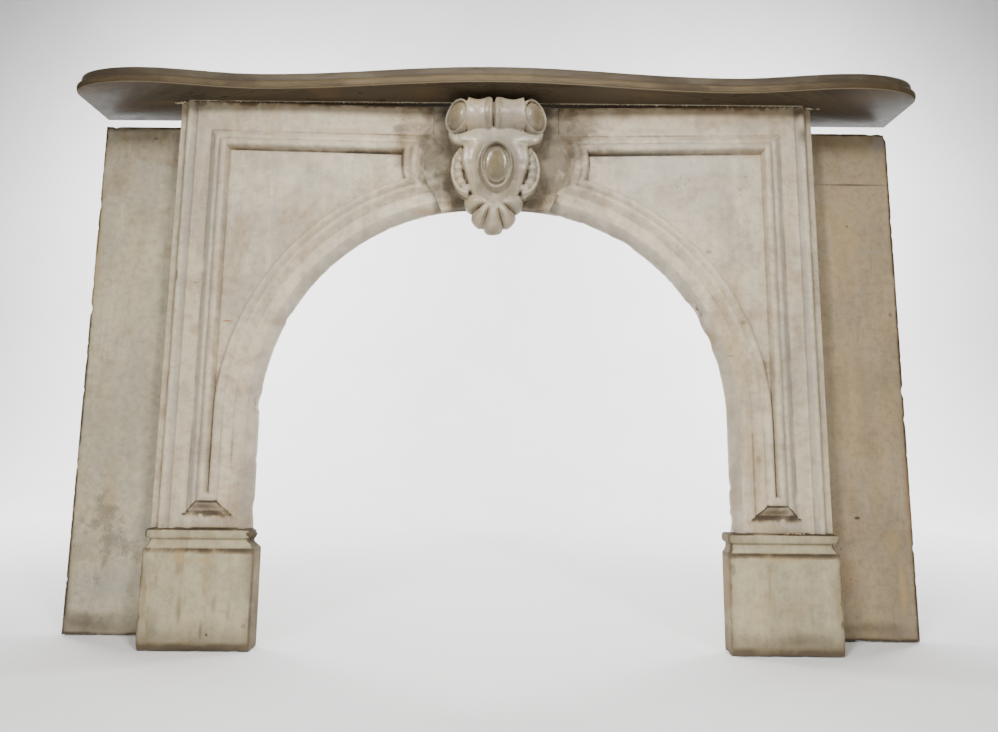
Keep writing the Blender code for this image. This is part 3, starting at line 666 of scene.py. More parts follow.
# Across the opening's hollow edge: distance, depth, and painted shade on the hollow, which faces away from
# the light
COVE = tuple(
    (COVE_WIDTH * s, COVE_DEPTH * (1 - s) ** 1.7, 0.20 if s < 0.95 else 0.06)
    for s in (0.0, 0.06, 0.2, 0.38, 0.56, 0.74, 0.9, 1.0))
# (side, angle or height along the arch's edge, length, depth), where the edge is broken
EDGE_CHIPS = (
    (-1, 0.452, 0.016, 0.0045), (-1, 0.250, 0.020, 0.0035), (-1, 0.62, 0.010, 0.003),
    (1, 0.640, 0.022, 0.0050), (1, 0.585, 0.014, 0.0035), (1, 0.300, 0.010, 0.003),
    (1, 0.235, 0.016, 0.004), (-1, 0.345, 0.009, 0.0025), (1, 0.78, 0.012, 0.003),
)


def edge_chip(side, x, z):
    """How far the arris of the opening is broken back at this place."""
    depth = max(0.0, smooth_noise((x, side, z), 38.0, 2.0) - 0.36) * sizes().chips * 1.6
    depth += max(0.0, smooth_noise((x, side, z), 190.0, 5.0) - 0.15) * 0.0016
    for chip_side, height, length, most in EDGE_CHIPS:
        if chip_side == side:
            share = abs(z - height) / length
            if share < 1.0:
                ragged = 0.75 + 0.6 * smooth_noise((x, z, 0.0), 260.0)
                depth += most * (1 - share ** 3) * ragged
    return depth


class PanelPlan:
    """Points and lines on the front of a panel, each point with its depth, and its dirt with painted shade.
    """

    def __init__(self):
        self.places, self.points, self.depths, self.dirt_and_shade, self.lines = {}, [], [], [], set()

    def point(self, place, depth, dirt_and_shade):
        key = (round(place[0], 5), round(place[1], 5))
        if key not in self.places:
            self.places[key] = len(self.points)
            self.points.append(place)
            self.depths.append(depth)
            self.dirt_and_shade.append(dirt_and_shade)
        return self.places[key]

    def line(self, places, depths, dirts, closed=False):
        ids = [self.point(*one) for one in zip(places, depths, dirts)]
        for a, b in zip(ids, ids[1:] + ids[:1] if closed else ids[1:]):
            if a != b:
                self.lines.add((min(a, b), max(a, b)))


def draw_panel(plan, side, step):
    joint = joint_line(JOINT)
    foot, shoulder = joint[0], joint[1]
    for distance, depth, dirt_and_shade in COVE:
        radius = ARCH_RADIUS + distance
        end = line_meets_circle(shoulder, foot, ARCH_CENTRE, radius)
        turn = angle_of(ARCH_CENTRE, end)
        x = OPENING_HALF + distance
        places = straight((x, LEG_FOOT), (x, ARCH_CENTRE[1]), step)
        places += arc(ARCH_CENTRE, radius, 0.0, turn, round(radius * turn / step))[1:]
        runout = [min(1.0, math.dist(place, places[-1]) / 0.016) for place in places]
        depths = [depth * math.sin(share * math.pi / 2) for share in runout]
        if distance == 0.0:
            moved = []
            for x, z in places[1:-1]:
                chip = edge_chip(side, x, z)
                if z < ARCH_CENTRE[1]:
                    moved.append((x + chip, z))
                else:
                    away = angle_of(ARCH_CENTRE, (x, z))
                    moved.append((x + chip * math.cos(away), z + chip * math.sin(away)))
            places = [places[0]] + moved + [places[-1]]
        elif distance < 0.002:
            places = places[:1] + places[-1:]
            depths = [depths[0], depths[-1]]
            plan.point(places[0], depths[0], dirt_and_shade)
            plan.point(places[1], depths[1], dirt_and_shade)
            continue
        plan.line(places, depths, [dirt_and_shade + 0.5 * (1 - share) for share in runout])
    for distance, depth, dirt_and_shade in OUTER_EDGE:
        x = LEG_OUT - distance
        places = straight((x, LEG_FOOT), (x, top_z(x)), step * 1.5)
        plan.line(places, [depth] * len(places), [dirt_and_shade] * len(places))
    coves = [(OPENING_HALF + distance, depth) for distance, depth, _ in COVE]
    edges = [(LEG_OUT - distance, depth) for distance, depth, _ in OUTER_EDGE][::-1]
    middle = [(x, 0.0) for x, _ in straight((coves[-1][0], 0), (edges[0][0], 0), step)[1:-1]]
    bottom = coves + middle + edges
    plan.line([(x, LEG_FOOT) for x, _ in bottom], [d for _, d in bottom], [0.8] * len(bottom))
    plan.line([(x, LEG_FOOT + 0.003) for x, _ in bottom], [d for _, d in bottom], [0.1] * len(bottom))
    top = [(x, 0.0) for x, _ in straight((joint[-1][0], 0), (edges[0][0], 0), step)[:-1]] + edges
    plan.line([(x, top_z(x)) for x, _ in top], [d for _, d in top], [0.7] * len(top))
    crossings = [line_meets_circle(shoulder, foot, ARCH_CENTRE, ARCH_RADIUS + distance)
                 for distance, _, _ in COVE]
    seam = crossings + [place for place in joint[1:] if place[1] > crossings[-1][1] + 0.001]
    plan.line(seam, [0.0] * len(seam), [0.30 if side < 0 else 0.55] * len(seam))
    for share, rise, dirt_and_shade in MOULDING:
        places = moulding_line(MOULD_WIDTH * share, step)
        plan.line(places, [-MOULD_RISE * rise] * len(places), moulding_dirt_and_shade(places, share, dirt_and_shade), closed=True)
    for inset, depth, dirt_and_shade in ((-0.004, 0.0, 0.04), (MOULD_WIDTH, FIELD_DEPTH, 0.70)):
        places = moulding_line(inset, step)
        dirts = moulding_dirt_and_shade(places, inset / MOULD_WIDTH, dirt_and_shade)
        plan.line(places, [depth] * len(places), dirts, closed=True)
    for place in moulding_line(MOULD_WIDTH + 0.0025, step / 2):
        if place[1] > 0.62:
            plan.point(place, FIELD_DEPTH, 0.05)
    outline = [(OPENING_HALF + COVE_WIDTH, LEG_FOOT), (LEG_OUT - EDGE_WIDTH, LEG_FOOT)]
    outline += [(LEG_OUT - EDGE_WIDTH, top_z(LEG_OUT)), (FALL_START, FRIEZE_TOP)]
    outline += [(x, z) for x, z in joint[::-1] if z > crossings[-1][1]]
    turn = angle_of(ARCH_CENTRE, crossings[-1])
    outline += arc(ARCH_CENTRE, ARCH_RADIUS + COVE_WIDTH, turn, 0.0, 60)
    fill_flats(plan, outline, step)


def moulding_dirt_and_shade(places, share, dirt_and_shade):
    """Dirt and painted shade lie thick under the top run and at the foot, where the moulding shades the
    field, thick at the end by the keystone, and thin elsewhere.
    """
    found = []
    for x, z in places:
        if z < PANEL_FOOT + MOULD_WIDTH * min(share, 0.52) + 0.0008:
            up = z - PANEL_FOOT
            mitre = min(abs(PANEL_OUT - x - up), abs(x - OPENING_HALF - MOULD_INSET - up))
            near = max(0.0, 1.0 - mitre / 0.003)
            found.append(max(dirt_and_shade, 0.95 * near, 0.70 if share < 0.06 or share > 0.45 else 0.34))
        elif x > PANEL_OUT - MOULD_WIDTH * 1.1 or z < 0.40:
            found.append(dirt_and_shade * (0.30 if share > 0.8 else 0.8))
        elif z > 0.93 and (z > PANEL_TOP - 0.060 or x < 0.20):
            found.append(dirt_and_shade * (1.0 - 0.45 * min(1.0, max(0.0, (x - 0.30) / 0.15))))
        else:
            found.append(dirt_and_shade * 0.5)
    return found


def jamb_bloom_and_shade(x, z):
    """Grey bloom and painted shade on the slopes that look away from the opening, in the hollow of the outer
    edge and on the hollow edge of the opening.
    """
    high = min(1.0, max(0.0, (PANEL_TOP - z) / 0.03)) * min(1.0, max(0.0, (z - PANEL_FOOT) / 0.03))
    across = (PANEL_OUT - x) / MOULD_WIDTH
    slopes = math.exp(-(((across - 0.15) / 0.13) ** 2)) + 0.9 * math.exp(-(((across - 0.56) / 0.08) ** 2))
    edge = math.exp(-(((LEG_OUT - x - 0.0325) / 0.0045) ** 2))
    reach = x - OPENING_HALF if z < ARCH_CENTRE[1] else math.dist((x, z), ARCH_CENTRE) - ARCH_RADIUS
    return 0.50 * slopes * high + 0.48 * edge + 0.36 * (reach < COVE_WIDTH - 0.001)


def fill_flats(plan, outline, step):
    """Loose points over the flats, so that they can lie a little uneven."""
    random.seed(4)
    xs, zs = np.meshgrid(np.arange(0.1, LEG_OUT, step), np.arange(LEG_FOOT, FRIEZE_TOP, step))
    x = xs.ravel() + np.array([random.uniform(-0.3, 0.3) * step for _ in range(xs.size)])
    z = zs.ravel() + np.array([random.uniform(-0.3, 0.3) * step for _ in range(xs.size)])
    drawn = np.array(plan.points)
    keep = inside(outline, x, z)
    x, z = x[keep], z[keep]
    apart = np.full(len(x), 9.0)
    for part in np.array_split(drawn, 40):
        gaps = np.hypot(x[:, None] - part[:, 0], z[:, None] - part[:, 1])
        apart = np.minimum(apart, gaps.min(axis=1))
    in_outer = inside(moulding_line(0.0, step), x, z)
    in_field = inside(moulding_line(MOULD_WIDTH, step), x, z)
    for one, (px, pz) in enumerate(zip(x, z)):
        if apart[one] > 0.45 * step and in_outer[one] == in_field[one]:
            plan.point((px, pz), FIELD_DEPTH if in_field[one] else 0.0, 0.0)


def arch_front(name, side, material):
    """One half of the front: its plan lifted to its depths, with sides, a flat back and a return."""
    plan = PanelPlan()
    draw_panel(plan, side, sizes().plan_step)
    edges = sorted(plan.lines)
    points, _, faces, origins, _, _ = delaunay_2d_cdt([Vector(p) for p in plan.points], edges, [], 1, 1e-7)
    bm = bmesh.new()
    dirt_and_shade_layer = bm.verts.layers.float.new("dirt_and_shade")
    bloom_and_shade_layer = bm.verts.layers.float.new("bloom")
    grain = sizes().grain
    for place, origin in zip(points, origins):
        depth = plan.depths[origin[0]] if origin else 0.0
        dirt_and_shade = plan.dirt_and_shade[origin[0]] if origin else 0.2
        seat = (place[0], side, place[1])
        swell = smooth_noise(seat, 18.0) + 0.6 * smooth_noise(seat, 60.0)
        edge = min(1.0, max(0.0, (LEG_OUT - place[0]) / 0.03))
        vert = bm.verts.new((side * place[0], FRONT_Y + depth + grain * swell * edge, place[1]))
        vert[dirt_and_shade_layer] = dirt_and_shade
        vert[bloom_and_shade_layer] = jamb_bloom_and_shade(*place)
    bm.verts.ensure_lookup_table()
    for face in faces:
        bm.faces.new([bm.verts[i] for i in face])
    draw_back(bm, 0.3)
    for vert in draw_back(bm, 1.0):
        vert[dirt_and_shade_layer], vert[bloom_and_shade_layer] = 0.06, 0.0
    bmesh.ops.holes_fill(bm, edges=open_rim(bm), sides=0)
    add_return(bm, side, LEG_OUT - 0.001, (LEG_FOOT + 0.001, FRIEZE_TOP - 0.001), 0.012, 0.0, side * 3.0)
    piece = object_of(name, bm, [material])
    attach(piece, "root")
    return piece


class MANTEL_OT_arch_panels(bpy.types.Operator):
    """Builds the two halves of the arched front with their mouldings, hollow edge and chips"""

    bl_idname = "mantel.arch_panels"
    bl_label = "Arch panels"

    def execute(self, context):
        for hand, side in (("left", -1), ("right", 1)):
            stains_and_shade = LEFT_STAINS_AND_SHADE if side < 0 else RIGHT_STAINS_AND_SHADE
            material = panel_marble(hand + "_panel_marble", side * 3.1, stains_and_shade)
            piece = arch_front(hand + "_arch_front", side, material)
            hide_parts(hand + "_arch_panel")
        return {"FINISHED"}


# Stains, and in the pockets at the feet of the panel mouldings painted shadow: colour's name, strength,
# centre and half size (across, up), raggedness
LEFT_STAINS_AND_SHADE = (
    ("dirt_and_shade", 0.55, (-0.199, 1.011), (0.0142, 0.0107), 0.7),
    ("tan", 0.75, (-0.184, 0.964), (0.0323, 0.0469), 0.8),
    ("tan", 0.55, (-0.154, 0.997), (0.0445, 0.0645), 0.7),
    ("tan", 0.35, (-0.296, 1.004), (0.1013, 0.0129), 0.9),
    ("tan", 0.50, (-0.632, 0.942), (0.0080, 0.0254), 0.8),
    ("dirt_and_shade", 0.60, (-0.602, 1.060), (0.0142, 0.0108), 0.6),
    ("dirt_and_shade", 0.35, (-0.566, 0.975), (0.0061, 0.0213), 0.9),
    ("rust", 0.80, (-0.521, 0.611), (0.0117, 0.0026), 0.3),
    ("tan", 0.35, (-0.580, 0.595), (0.0175, 0.0158), 0.9),
    ("tan", 0.40, (-0.429, 0.609), (0.0273, 0.0119), 1.0),
    ("dirt_and_shade", 0.60, (-0.623, 0.699), (0.0031, 0.0162), 1.2),
    ("dirt_and_shade", 0.50, (-0.588, 0.687), (0.0098, 0.0016), 0.2),
    ("tan", 0.45, (-0.419, 0.832), (0.0060, 0.0062), 0.6),
    ("tan", 0.22, (-0.395, 0.941), (0.1208, 0.0254), 0.9),
    # Painted shadow in the pocket at the foot of the moulding
    ("dirt_and_shade", 0.62, (-0.538, 0.258), (0.0376, 0.0092), 0.5),
    ("tan", 0.30, (-0.638, 0.435), (0.0096, 0.0230), 1.2),
    ("tan", 0.40, (-0.461, 0.231), (0.0131, 0.0258), 0.9),
    ("tan", 0.55, (-0.140, 0.839), (0.0518, 0.0124), 0.9),
    ("slate", 0.18, (-0.545, 0.845), (0.0598, 0.0837), 0.9),
    ("slate", 0.16, (-0.330, 0.930), (0.2600, 0.1300), 0.9),
)
RIGHT_STAINS_AND_SHADE = (
    ("tan", 0.60, (0.149, 0.968), (0.0283, 0.0641), 0.7),
    ("tan", 0.45, (0.176, 1.015), (0.0406, 0.0258), 0.9),
    ("tan", 0.30, (0.312, 1.011), (0.1218, 0.0107), 0.9),
    ("dirt_and_shade", 0.40, (0.520, 1.045), (0.0244, 0.0108), 0.9),
    ("dirt_and_shade", 0.85, (0.616, 1.054), (0.0285, 0.0220), 0.7),
    ("dirt_and_shade", 0.75, (0.620, 1.003), (0.0105, 0.0260), 0.8),
    ("dirt_and_shade", 0.35, (0.262, 1.042), (0.0190, 0.0240), 1.0),
    ("dirt_and_shade", 0.60, (0.372, 0.912), (0.0034, 0.0036), 0.5),
    ("dirt_and_shade", 0.60, (0.381, 0.899), (0.0028, 0.0030), 0.5),
    ("dirt_and_shade", 0.60, (0.366, 0.893), (0.0038, 0.0030), 0.5),
    ("dirt_and_shade", 0.55, (0.389, 0.908), (0.0024, 0.0034), 0.5),
    ("dirt_and_shade", 0.45, (0.424, 0.759), (0.0079, 0.0061), 0.8),
    ("dirt_and_shade", 0.60, (0.482, 0.615), (0.0059, 0.0060), 0.6),
    ("tan", 0.35, (0.482, 0.615), (0.0137, 0.0139), 0.8),
    ("dirt_and_shade", 0.45, (0.460, 0.551), (0.0116, 0.0027), 0.4),
    ("tan", 0.75, (0.424, 0.573), (0.0136, 0.0435), 0.8),
    ("dirt_and_shade", 0.45, (0.417, 0.586), (0.0078, 0.0237), 0.9),
    # Painted shadow in the pocket at the foot of the moulding
    ("dirt_and_shade", 0.55, (0.535, 0.256), (0.0339, 0.0092), 0.5),
    ("tan", 0.40, (0.553, 0.375), (0.0153, 0.0095), 0.9),
    ("dirt_and_shade", 0.30, (0.503, 0.352), (0.0057, 0.0113), 0.8),
    ("tan", 0.25, (0.413, 0.992), (0.1114, 0.0107), 0.9),
    ("tan", 0.35, (0.458, 0.268), (0.0094, 0.0558), 0.9),
    ("dirt_and_shade", 0.50, (0.490, 0.888), (0.0040, 0.0042), 0.3),
    ("dirt_and_shade", 0.50, (0.503, 0.915), (0.0032, 0.0034), 0.3),
    ("dirt_and_shade", 0.50, (0.492, 0.877), (0.0030, 0.0031), 0.3),
    ("slate", 0.34, (0.350, 0.920), (0.2800, 0.1500), 0.9),
    ("tan", 0.38, (0.380, 1.045), (0.3000, 0.0350), 0.9),
)
LEFT_SLIP_STAINS = (
    ("ochre", 0.45, (-0.771, 0.257), (0.0202, 0.1202), 0.8),
    ("slate", 0.45, (-0.755, 0.095), (0.0892, 0.0577), 0.9),
    ("dirt_and_shade", 0.62, (-0.842, 0.075), (0.0198, 0.1050), 0.8),
    ("dirt_and_shade", 0.60, (-0.800, 0.028), (0.0700, 0.0240), 1.2),
    ("slate", 0.45, (-0.700, 0.205), (0.0300, 0.0500), 1.2),
    ("ochre", 0.18, (-0.799, 0.459), (0.0411, 0.1249), 0.9),
    ("dirt_and_shade", 0.50, (-0.733, 1.023), (0.0065, 0.0046), 0.5),
    ("dirt_and_shade", 0.55, (-0.800, 1.045), (0.1301, 0.0092), 0.6),
    ("ochre", 0.40, (-0.835, 0.755), (0.0106, 0.1992), 0.9),
    ("dirt_and_shade", 0.35, (-0.786, 0.015), (0.0787, 0.0151), 0.8),
    ("dirt_and_shade", 0.30, (-0.691, 0.007), (0.0236, 0.0113), 0.8),
    ("dirt_and_shade", 0.70, (-0.842, 0.168), (0.0060, 0.0156), 0.5),
    ("tan", 0.40, (-0.835, 0.999), (0.0216, 0.0456), 0.9),
)
RIGHT_SLIP_STAINS = (
    ("slate", 0.60, (0.823, 1.027), (0.0217, 0.0275), 0.8),
    ("dirt_and_shade", 0.80, (0.745, 0.842), (0.0043, 0.0044), 0.4),
    ("tan", 0.70, (0.780, 0.957), (0.0054, 0.0056), 0.5),
    ("dirt_and_shade", 0.80, (0.758, 0.934), (0.1100, 0.0032), 0.4),
    ("dirt_and_shade", 0.90, (0.731, 0.237), (0.0081, 0.0043), 0.3),
    ("ochre", 0.35, (0.733, 0.816), (0.0532, 0.1336), 0.9),
    ("ochre", 0.25, (0.735, 0.475), (0.0619, 0.1678), 0.9),
    ("tan", 0.45, (0.704, 0.106), (0.0558, 0.0503), 1.0),
    ("ochre", 0.80, (0.813, 0.098), (0.0100, 0.0970), 0.9),
    ("dirt_and_shade", 0.50, (0.825, 0.652), (0.0063, 0.0064), 0.8),
    ("tan", 0.50, (0.698, 1.051), (0.0304, 0.0368), 0.8),
    ("ochre", 0.50, (0.799, 0.194), (0.0161, 0.0393), 0.9),
    ("dirt_and_shade", 0.40, (0.748, 0.025), (0.0889, 0.0171), 0.9),
    ("tan", 0.50, (0.835, 0.274), (0.0101, 0.1615), 0.9),
    ("dirt_and_shade", 0.25, (0.677, 0.433), (0.0082, 0.1244), 0.9),
)
LEFT_FOOT_STAINS = (
    ("dirt_and_shade", 0.35, (-0.571, 0.070), (0.0073, 0.0282), 0.9),
    ("dirt_and_shade", 0.50, (-0.528, 0.036), (0.0055, 0.0244), 0.8),
    ("dirt_and_shade", 0.30, (-0.507, 0.080), (0.0073, 0.0247), 0.9),
    ("dirt_and_shade", 0.28, (-0.479, 0.071), (0.0055, 0.0246), 0.9),
    ("ochre", 0.40, (-0.544, 0.159), (0.0773, 0.0072), 0.9),
    ("ochre", 0.60, (-0.577, 0.166), (0.0147, 0.0125), 0.9),
    ("dirt_and_shade", 0.70, (-0.440, 0.054), (0.0046, 0.0669), 0.5),
    ("tan", 0.50, (-0.636, 0.087), (0.0073, 0.0889), 0.8),
    ("dirt_and_shade", 0.28, (-0.620, 0.044), (0.0255, 0.0385), 1.2),
    ("dirt_and_shade", 0.80, (-0.517, 0.028), (0.0036, 0.0035), 0.3),
    ("dirt_and_shade", 0.75, (-0.529, 0.001), (0.1086, 0.0087), 0.5),
    ("dirt_and_shade", 0.40, (-0.450, 0.044), (0.0073, 0.0070), 0.7),
    ("tan", 0.50, (-0.615, 0.126), (0.0055, 0.0160), 0.6),
)
RIGHT_FOOT_STAINS = (
    ("tan", 0.50, (0.438, 0.116), (0.0055, 0.0714), 0.8),
    ("ochre", 0.40, (0.538, 0.170), (0.0850, 0.0072), 0.9),
    ("ochre", 0.25, (0.492, 0.081), (0.0366, 0.0531), 0.9),
    ("dirt_and_shade", 0.35, (0.563, 0.029), (0.0728, 0.0174), 0.9),
    ("dirt_and_shade", 0.75, (0.534, -0.002), (0.1088, 0.0069), 0.5),
    ("dirt_and_shade", 0.40, (0.445, 0.151), (0.0074, 0.0143), 0.8),
    ("tan", 0.40, (0.636, 0.100), (0.0073, 0.0712), 0.8),
    ("dirt_and_shade", 0.25, (0.512, 0.108), (0.0055, 0.0355), 0.9),
    ("dirt_and_shade", 0.22, (0.587, 0.064), (0.0055, 0.0352), 0.9),
)


# Keystone


def spot(x, y, z):
    """A place in the carving, in shares of its half width, its projection and its height."""
    return Vector((x * KEY_HALF_WIDTH, FRONT_Y - y * KEY_PROJECTION, KEY_TOP - z * KEY_HEIGHT))


GROOVE_SHIFT = -0.045
LEAF_REACH = 0.452 * KEY_HEIGHT


def roll(bm):
    centre = spot(0.0, 0.44, 0.134)
    frame_matrix = Matrix.Translation(centre) @ Matrix.Rotation(math.pi / 2, 4, "Y")
    half = ((0.006, 0.70), (0.020, 0.80), (0.032, 0.92), (0.060, 0.975), (0.100, 0.988), (0.150, 0.972),
            (0.182, 0.945), (0.196, 0.915), (0.210, 0.920), (0.25, 0.900), (0.31, 0.878), (0.37, 0.875),
            (0.43, 0.892), (0.49, 0.930), (0.53, 0.955), (0.56, 0.965))
    half = through(half, 3)
    profile = [(-x, r) for x, r in half[::-1]] + half
    shifted = []
    for x, r in profile:
        shift = GROOVE_SHIFT * (1 - min(1.0, abs(x) / half[-1][0]))
        shifted.append(((x + shift) * KEY_HALF_WIDTH, r * 0.141 * KEY_HEIGHT))
    turned(bm, frame_matrix, shifted, 72)


def eye(bm, side):
    """A volute's eye: a raised rim, a dished ring and a dome, looking outwards and forwards."""
    centre = spot(side * 0.775, 0.62, 0.145)
    turn = math.radians(45)
    towards = Vector((side * math.sin(turn), -math.cos(turn), 0.0))
    frame_matrix = Matrix.Translation(centre) @ towards.to_track_quat("Z", "Y").to_matrix().to_4x4()
    half = ((-1.40, 0.80), (-0.35, 0.96), (-0.08, 1.00), (0.03, 1.00), (0.105, 0.975), (0.12, 0.935),
            (0.08, 0.885), (-0.04, 0.865), (-0.11, 0.845), (-0.10, 0.805), (0.00, 0.775), (0.11, 0.70),
            (0.20, 0.58), (0.265, 0.42), (0.30, 0.22), (0.31, 0.03))
    size = 0.119 * KEY_HEIGHT
    turned(bm, frame_matrix, [(h * size, r * size) for h, r in half], 72)


def shield(bm):
    stations = (
        (0.155, 0.70, 0.55, 0.25), (0.205, 0.92, 0.63, 0.32), (0.225, 0.955, 0.685, 0.38),
        (0.250, 0.965, 0.73, 0.43), (0.285, 0.94, 0.755, 0.47), (0.312, 0.895, 0.775, 0.49),
        (0.330, 0.84, 0.79, 0.49), (0.342, 0.77, 0.80, 0.49), (0.350, 0.68, 0.81, 0.54),
        (0.362, 0.645, 0.815, 0.58), (0.400, 0.665, 0.82, 0.59), (0.459, 0.675, 0.815, 0.59),
        (0.500, 0.65, 0.80, 0.57), (0.541, 0.61, 0.785, 0.56), (0.616, 0.54, 0.73, 0.50),
        (0.670, 0.49, 0.66, 0.44), (0.730, 0.40, 0.58, 0.36), (0.790, 0.32, 0.46, 0.22),
    )
    steps = 28
    sections = []
    for drop, half, front, edge in through(stations, 4):
        ring = [spot(half * 0.97, -0.15, drop), spot(half, edge - 0.12, drop)]
        for i in range(steps + 1):
            across = math.cos(math.radians(8) + math.radians(164) * i / steps)
            lip = 0.018 * math.exp(-((abs(across) - 0.93) / 0.05) ** 2)
            around = math.hypot(across * half / 0.40, (drop - 0.53) / 0.225)
            ease = drop < 0.60 or 1.0 - (drop - 0.60) / 0.13
            dish = -0.070 * math.exp(-(((around - 0.86) / 0.26) ** 2)) * ease
            stand = edge + (front - edge) * (1 - across * across) + lip + dish
            ring.append(spot(half * across, stand, drop))
        ring += [spot(-half, edge - 0.12, drop), spot(-half * 0.97, -0.15, drop)]
        sections.append(ring)
    capped(bm, sections)


def oval(bm):
    half_x, half_z = 0.300 * KEY_HALF_WIDTH, 0.160 * KEY_HEIGHT
    lean = math.atan2(0.12 * KEY_PROJECTION, 2 * half_z)
    frame_matrix = Matrix.Translation(spot(0.020, 0.88, 0.527)) @ Matrix.Rotation(math.pi / 2 + lean, 4, "X")
    profile = (
        (1.0, 0.09, -0.36), (1.0, 0.045, -0.12), (1.0, 0.022, -0.05), (1.0, 0.012, 0.0), (1.0, 0.004, 0.035),
        (1.0, -0.010, 0.056), (1.0, -0.024, 0.052), (1.0, -0.036, 0.026), (1.0, -0.046, 0.012),
        (1.0, -0.058, 0.014), (1.0, -0.066, -0.004), (1.0, -0.072, -0.050), (1.0, -0.078, -0.085),
        (0.790, 0.0, -0.085), (0.785, 0.0, -0.020), (0.755, 0.0, 0.014), (0.68, 0.0, 0.038),
        (0.52, 0.0, 0.054), (0.28, 0.0, 0.064), (0.04, 0.0, 0.068),
    )
    sections = []
    for share, reach, height in profile:
        ring = []
        for i in range(80):
            angle = math.tau * i / 80
            x = (half_x * share + KEY_PROJECTION * reach) * math.cos(angle)
            y = (half_z * share + KEY_PROJECTION * reach) * math.sin(angle)
            ring.append(frame_matrix @ Vector((x, y, KEY_PROJECTION * height)))
        sections.append(ring)
    capped(bm, sections)


SCROLL_START, SCROLL_SWEEP = math.radians(-68), math.radians(152)


def scroll_spot(side, angle, inset, depth):
    x = 0.50 + (0.378 - inset) * math.cos(angle)
    drop = 0.516 + (0.193 - inset / 3) * math.sin(angle)
    return spot(side * x, depth, drop)


def side_scroll(bm, side):
    """A rim beside the body, hollowed along its inner side, and the bed that the beads lie on."""
    steps, turns = 44, 16
    thick = 0.050 * KEY_PROJECTION
    sections = []
    for i in range(steps + 1):
        share = i / steps
        angle = SCROLL_START + SCROLL_SWEEP * share
        swell = 0.90 + 0.75 * math.exp(-((share / 0.10) ** 2)) + 1.55 * math.exp(-(((share - 1) / 0.18) ** 2))
        place = scroll_spot(side, angle, 0.026 * (swell - 0.6), 0.37 + 0.05 * math.sin(angle))
        out = Vector((side * math.cos(angle), 0.0, -math.sin(angle)))
        ring = []
        for j in range(turns):
            turn = math.tau * j / turns
            reach = out * math.cos(turn) * swell + Vector((0.0, (1.3 + 0.7 * swell) * math.sin(turn), 0.0))
            ring.append(place + reach * thick)
        sections.append(ring)
    capped(bm, sections)
    bed = []
    for depth in (-0.10, 0.33):
        ring = [scroll_spot(side, SCROLL_START + SCROLL_SWEEP * i / 16, -0.01, depth) for i in range(17)]
        ring += [spot(side * 0.30, depth, 0.709), spot(side * 0.30, depth, 0.323)]
        bed.append(ring)
    capped(bm, bed)
    core = []
    for i in range(25):
        angle = SCROLL_START + SCROLL_SWEEP * (0.05 + 0.90 * i / 24)
        place = scroll_spot(side, angle, 0.125, 0.372)
        out = Vector((side * math.cos(angle), 0.0, -math.sin(angle)))
        core.append([place + out * 0.0100 * math.cos(math.tau * j / 14)
                     + Vector((0.0, 0.0072 * math.sin(math.tau * j / 14), 0.0)) for j in range(14)])
    capped(bm, core)


def leaf_lobe(turn):
    lobes = ((0.0, 11.5), (20.5, 9.0), (45.5, 16.0))
    found = [(abs(turn) - middle) / half for middle, half in lobes]
    lobe = min(range(3), key=lambda i: abs(found[i]))
    return max(-1.0, min(1.0, found[lobe])), lobe


def fan_spot(angle, length, share, depth):
    """A place on the leaf: this share of the way from the lobes' common root to their tips."""
    x = length * math.sin(angle) / KEY_HALF_WIDTH + GROOVE_SHIFT * length / LEAF_REACH
    drop = 0.545 + length * math.cos(angle) / KEY_HEIGHT
    return spot(x * share - 0.03 * (1 - share), depth, drop * share + 0.725 * (1 - share))


def leaf(bm):
    """The hanging leaf: five rounded lobes, the middle three with a vein up their middles, hollowed between.
    """
    steps = 150
    spread = math.radians(62)
    relief = through((
        (0.04, 0.47), (0.22, 0.545), (0.42, 0.545), (0.62, 0.50), (0.80, 0.44), (0.92, 0.38), (0.98, 0.31),
        (1.0, 0.22),
    ), 4)
    sections = []
    for i in range(steps + 1):
        angle = spread * (2 * i / steps - 1)
        turn = math.degrees(angle)
        across, lobe = leaf_lobe(turn)
        length = LEAF_REACH * (1.016 - 0.0082 * max(8.0, abs(turn)))
        length = length * (1 - (0.11, 0.09, 0.12)[lobe] * abs(across) ** 3)
        vein = math.exp(-((across / 0.17) ** 2))
        ring = []
        for share, stand in relief:
            grow = math.sin(math.pi * min(1.0, max(0.0, share - 0.15)) / 0.85)
            groove = min(1.0, max(0.0, (share - 0.34) / 0.36))
            swell = 0.09 * grow * (1 - across * across) - 0.15 * groove * abs(across) ** 2.6
            swell -= 0.035 * vein * grow * (lobe < 2)
            fall = (0.06 + 0.20 * (1 - share)) * (angle / spread) ** 2
            ring.append(fan_spot(angle, length, share, stand + swell - fall))
        ring.append(fan_spot(angle, length, 0.93, 0.06))
        ring.append(fan_spot(angle, length, 0.62, -0.06))
        ring.append(fan_spot(angle, length, 0.04, -0.08))
        sections.append(ring)
    capped(bm, sections)


def node_tree(name, given, result, inputs):
    """A Geometry Nodes tree with its named inputs, its two ends, and a function that adds nodes."""
    tree = bpy.data.node_groups.new(name, "GeometryNodeTree")
    tree.interface.new_socket(given, in_out="INPUT", socket_type="NodeSocketGeometry")
    for label, kind, default in inputs:
        socket = tree.interface.new_socket(label, in_out="INPUT", socket_type="NodeSocket" + kind)
        if default is not None:
            socket.default_value = default
    tree.interface.new_socket(result, in_out="OUTPUT", socket_type="NodeSocketGeometry")

    def nodes(*kinds):
        return [tree.nodes.new(kind) for kind in kinds]

    source, target = nodes("NodeGroupInput", "NodeGroupOutput")
    return tree, source, target, nodes


def wired(tree, wires):
    for start, end in wires:
        tree.links.new(start, end)
    return tree


